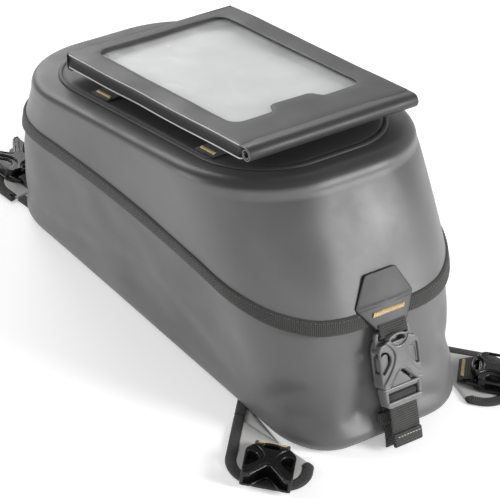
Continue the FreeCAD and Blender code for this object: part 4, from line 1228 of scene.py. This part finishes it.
def build_wing_buckle(name):
    """Female half that hangs from the wing on a folded webbing tab."""
    axes = WING_AXES[name]
    rider = "wing_buckle_" + name
    show(rider + "_shell", join(female_half(axes, 15.0)), rider, "buckle_black", [rider], crease=40)
    webbing("wing_tab_%s_webbing" % name, axes, [
        (-6.0, 0.9), (-1.0, 0.9), (2.2, 0.9), (3.9, 1.6), (4.3, 3.6), (3.7, 5.6), (1.8, 6.2), (-1.5, 5.0),
        (-6.0, 2.8)], rider, ["wing_tab_" + name])
    tack = bartack(axes, (0, -2.8), length=20, width=2.4, height=5.2)
    show("wing_tack_" + name, tack, rider, "thread", ["tab_bartack_" + name])


# ---------------------------------------------------------------- map pouch

POUCH = axes_at(LID.y, LID_UP, "pouch_frame", (0.5, 0.5, 0))
PER_SIDE = 26     # points along each side of a sheet's loop
PER_CORNER = 6
LAP = 4.0         # the film's overlap behind the window's rim
LOOPS = (1.0, 0.97, 0.92, 0.84, 0.74, 0.62, 0.5, 0.36, 0.2, 0.0)    # scales of a sheet's loops, inwards


def rectangle_loop(half, front, rear, radius, tab=0.0):
    """Rounded rectangle whose point count never changes; tab draws a trapezoid in from its front edge."""
    corners = [(half - radius, front + radius, 270), (half - radius, rear - radius, 0),
               (-half + radius, rear - radius, 90), (-half + radius, front + radius, 180)]
    made = []
    for i, (x, y, angle) in enumerate(corners):
        before = corners[i - 1]
        start = arc(before[:2], radius, before[2] + 90, before[2] + 90, 1)[0]
        end = arc((x, y), radius, angle, angle, 1)[0]
        for k in range(PER_SIDE):
            t = k / PER_SIDE
            spot = [start[0] + (end[0] - start[0]) * t, start[1] + (end[1] - start[1]) * t]
            if i == 0:
                spot[1] += tab * smooth((24 - abs(spot[0])) / 7)
            made.append(tuple(spot))
        made += arc((x, y), radius, angle, angle + 90, PER_CORNER)[:-1]
    return made


def ripple(x, y):
    """Slow waves of the pouch's sheets, stronger at the free side edges."""
    free = smooth((abs(x) - 40) / 36)
    return 0.35 * noise.noise(Vector((x, y, 0)) / 30) + 0.9 * free * noise.noise(Vector((x, y, 40)) / 45)


def sheet_between(outer, inner, low, thick, steps=(0.0, 0.03, 0.25, 0.5, 0.75, 0.97, 1.0)):
    """A sheet with a window: loops from its outer edge to its inner edge, closed underneath."""
    rows = []
    for height, order in ((thick, steps), (0.0, steps[::-1])):
        for t in order:
            rim = 0.18 if t in (0.0, 1.0) and height else 0.0
            loop = [(a[0] + (b[0] - a[0]) * t, a[1] + (b[1] - a[1]) * t) for a, b in zip(outer, inner)]
            rows.append([POUCH.point(x, y, low + height - rim + ripple(x, y)) for x, y in loop])
    return grid_mesh(rows[::-1], loop=True)


def build_pouch():
    """Front sheet with a window, film, back sheet, pale backing, side walls, two ends and grip pads."""
    half, reach, thick = POUCH.span("pouch_frame")[1]
    film_low, film_high = POUCH.span("pouch_window")
    opening = (film_high.x - LAP, film_low.y + LAP, film_high.y - LAP)
    frame_piece = pouch_front(half, reach, thick, opening)
    build_pouch_film(half, film_low, film_high)
    back_piece = pouch_back(half, reach)
    build_pouch_backing(half)
    build_pouch_sides(half, reach)
    build_pouch_roll(half, reach, thick)
    build_pouch_flap(half)
    build_grip_pads()


def pouch_front(half, reach, thick, opening):
    outer = rectangle_loop(half, -reach, reach, 2.5)
    window = rectangle_loop(*opening, 9.0, tab=10.0)
    made = show("pouch_frame_sheet", sheet_between(outer, window, 0.0, thick), "pouch", "pouch_grey",
                ["pouch_frame"], crease=50)
    second_finish(made, CUT_EDGE, lambda face: abs(face.normal.dot(POUCH.z)) < 0.6
                  and abs(POUCH.local(face.center).x) > half - 1)
    return made


def build_pouch_film(half, low, high):
    """Clear film that sags a little in the window."""

    def sagging(x, y):
        return low.z - 0.5 + ripple(x, y) - 0.7 * smooth(1 - abs(x) / half) + 0.3 * noise.noise(
            Vector((x, y * 0.4, 9)) / 12)

    outline = rectangle_loop(high.x, low.y, high.y, 9.0)
    rows = [(share, sagging) for share in LOOPS[::-1]]
    rows += [(share, lambda x, y: sagging(x, y) + 0.35) for share in LOOPS]
    made = show("pouch_film", dome(POUCH, outline, rows), "pouch", "clear_film", ["pouch_window"])


def pouch_back(half, reach):
    low, high = POUCH.span("pouch_back")
    outline = rectangle_loop(half, -reach, reach, 2.5)
    wavy = [(0.0, low.z), (0.9, low.z), (1.0, lambda x, y: low.z + ripple(x, y)),
            (1.0, lambda x, y: high.z + ripple(x, y)), (0.9, high.z), (0.0, high.z)]
    made = show("pouch_back_sheet", dome(POUCH, outline, wavy), "pouch", "pouch_grey", ["pouch_back"],
                crease=50)
    second_finish(made, CUT_EDGE, lambda face: abs(face.normal.dot(POUCH.z)) < 0.6)
    return made


def build_pouch_backing(half):
    """Pale sheet that swells up behind the window."""
    low, high = POUCH.span("pouch_backing")

    def pillow(x, y):
        swell = 3.4 * smooth(1.6 * (1 - abs(x) / half))
        return high.z + swell + 0.3 * noise.noise(Vector((x, y, 3)) / 25)

    outline = rectangle_loop(high.x, low.y, high.y, 4.0)
    rows = [(0.0, low.z), (1.0, low.z)] + [(share, pillow) for share in LOOPS]
    show("pouch_pale_sheet", dome(POUCH, outline, rows), "pouch", "pouch_pale", ["pouch_backing"])


def build_pouch_sides(half, reach):
    """Pleated side wall along the two sides and the front end."""
    low, high = POUCH.span("pouch_gusset")
    middle = (low.z + high.z) / 2
    top = high.z - 0.2
    cut = 3
    pleat = [(0.5, low.z), (3.2, middle), (0.5, top), (1.4, top), (4.2, middle), (1.4, low.z)]
    line = [(-half, reach - 1), (-half, -reach + cut), (-half + cut, -reach), (half - cut, -reach),
            (half, -reach + cut), (half, reach - 1)]
    side_wall = sweep(POUCH, resample(line, 3, closed=False), pleat)
    show("pouch_side_walls", side_wall, "pouch", "pouch_grey", ["pouch_gusset"])


def build_pouch_roll(half, reach, thick):
    """The pouch's front end, rolled up."""
    low, high = POUCH.span("pouch_roll")
    radius = (high.z - low.z) / 2
    centre_y, centre_z = (low.y + high.y) / 2, (low.z + high.z) / 2
    turns, pitch, steps = 1.85, 1.45, 60
    path = [POUCH.point(0, -reach + 1.5, thick / 2)]
    for k in range(steps + 1):
        angle = math.pi / 2 + 2 * math.pi * turns * k / steps
        shrunk = radius - thick / 2 - pitch * turns * k / steps
        path.append(POUCH.point(0, centre_y + shrunk * math.cos(angle), centre_z + shrunk * math.sin(angle)))
    made = show("pouch_rolled_end", ribbon(path, POUCH.x, half, thick), "pouch", "pouch_grey", ["pouch_roll"])
    second_finish(made, ROLL_EDGE, lambda face: abs(face.normal.dot(POUCH.x)) > 0.6)


def build_pouch_flap(half):
    """The pouch's rear flap, which hangs down with a curled lip."""
    low, high = POUCH.span("pouch_flap")
    far = high.y - 0.6
    path = curved([POUCH.point(0, y, z) for y, z in (
        (far - 1.0, high.z - 0.5), (far - 0.1, high.z - 1.4), (far, -4.0), (far - 0.1, low.z + 2.2),
        (far - 1.2, low.z + 0.5), (far - 3.2, low.z - 0.2), (far - 5.6, low.z + 0.3))])
    made = show("pouch_rear_flap", ribbon(path, POUCH.x, half, 1.0), "pouch_flap", "pouch_grey",
                ["pouch_flap"])
    second_finish(made, ROLL_EDGE, lambda face: abs(face.normal.dot(POUCH.x)) > 0.6)


def build_grip_pads():
    low, high = LID.span("pouch_grip_pads")
    half = 8
    meshes = []
    for y in (low.y + half, high.y - half):
        outline = [(x, y + v) for x, v in resample(rounded(even_sided(30, -half, 30, half), 4), 2)]
        meshes.append(dome(LID, outline, [
            (0.0, low.z), (0.95, low.z), (1.0, low.z + 1.0), (1.0, high.z - 1.0), (0.95, high.z),
            (0.0, high.z)]))
    pads = show("pouch_grip_feet", join(meshes), "pouch", "foam", ["pouch_grip_pads"])


# ---------------------------------------------------------------- stage

def area_light(name, place, aim, size, power):
    lamp = bpy.data.lights.new(name, "AREA")
    lamp.shape = "DISK"
    lamp.size = size
    lamp.energy = power
    holder = placed(name, lamp)
    holder.location = place
    holder.rotation_mode = "QUATERNION"
    holder.rotation_quaternion = (Vector(aim) - Vector(place)).to_track_quat("-Z", "Y")
    return holder


def build_floor():
    half = 6.0
    mesh = bpy.data.meshes.new("floor")
    corners = [(-half, -half, 0), (half, -half, 0), (half, half, 0), (-half, half, 0)]
    mesh.from_pydata(corners, [], [(0, 1, 2, 3)])
    floor = placed("floor", mesh)
    s = Shader("floor")
    s.set(Base_Color=s.tint(s.noise(1.5), grey(0.88), grey(0.9)), Roughness=0.8, Specular_IOR_Level=0.2)
    s.set(Emission_Color=(1, 1, 1, 1), Emission_Strength=0.32)
    mesh.materials.append(s.material)


def build_sky():
    """Pale surroundings that get darker towards the top."""
    world = bpy.data.worlds.new("studio")
    world.use_nodes = True
    tree = world.node_tree
    split = tree.nodes.new("ShaderNodeSeparateXYZ")
    tree.links.new(tree.nodes.new("ShaderNodeTexCoord").outputs["Generated"], split.inputs[0])
    ramp = tree.nodes.new("ShaderNodeValToRGB")
    tree.links.new(split.outputs[2], ramp.inputs[0])
    for element, position, shade in zip(ramp.color_ramp.elements, (0.25, 0.85), (1.0, 0.22)):
        element.position = position
        element.color = (shade, shade, shade, 1)
    tree.links.new(ramp.outputs[0], tree.nodes["Background"].inputs["Color"])
    tree.nodes["Background"].inputs["Strength"].default_value = 0.95
    bpy.context.scene.world = world
    bpy.context.scene.view_settings.view_transform = "Standard"


def build_stage():
    build_floor()
    build_sky()
    aim = (0, 0, 0.08)
    lamps = [("key", (1.3, -1.8, 1.0), 0.9, 50), ("left", (-1.7, 1.2, 0.9), 0.9, 22),
             ("back", (0.5, 1.8, 0.9), 1.2, 16)]
    for name, place, size, power in lamps:
        area_light(name, place, aim, size, power)


def build_camera():
    """Long-lens view from the front left and above."""
    place = (-1.1742, -1.2716, 1.2980)
    back = Vector((-0.5513, -0.5925, 0.5874)).normalized()
    right = Vector((0.2784, 0.5330, 0.7990)).cross(back).normalized()
    turn = Matrix((right, back.cross(right), back)).transposed().to_4x4()
    data = bpy.data.cameras.new("camera")
    data.sensor_width = 36
    data.lens = 208.8
    data.clip_start, data.clip_end = 0.05, 50
    camera = placed("camera", data)
    camera.matrix_world = Matrix.Translation(place) @ turn
    bpy.context.scene.camera = camera


build_body()
build_collar()
build_lid()
build_binding()
build_sole()
for wing_name in WINGS:
    build_ear(wing_name)
build_hinge_strip()
build_lid_panel()
build_lid_foam()
build_cross_straps()
build_hexagon()
build_closure()
for wing_name in WINGS:
    build_wing(wing_name)
    build_wing_buckle(wing_name)
build_pouch()
frame["nodes"]["base_board"].data.materials.clear()
frame["nodes"]["base_board"].data.materials.append(MATERIALS["board"])
build_stage()
build_camera()
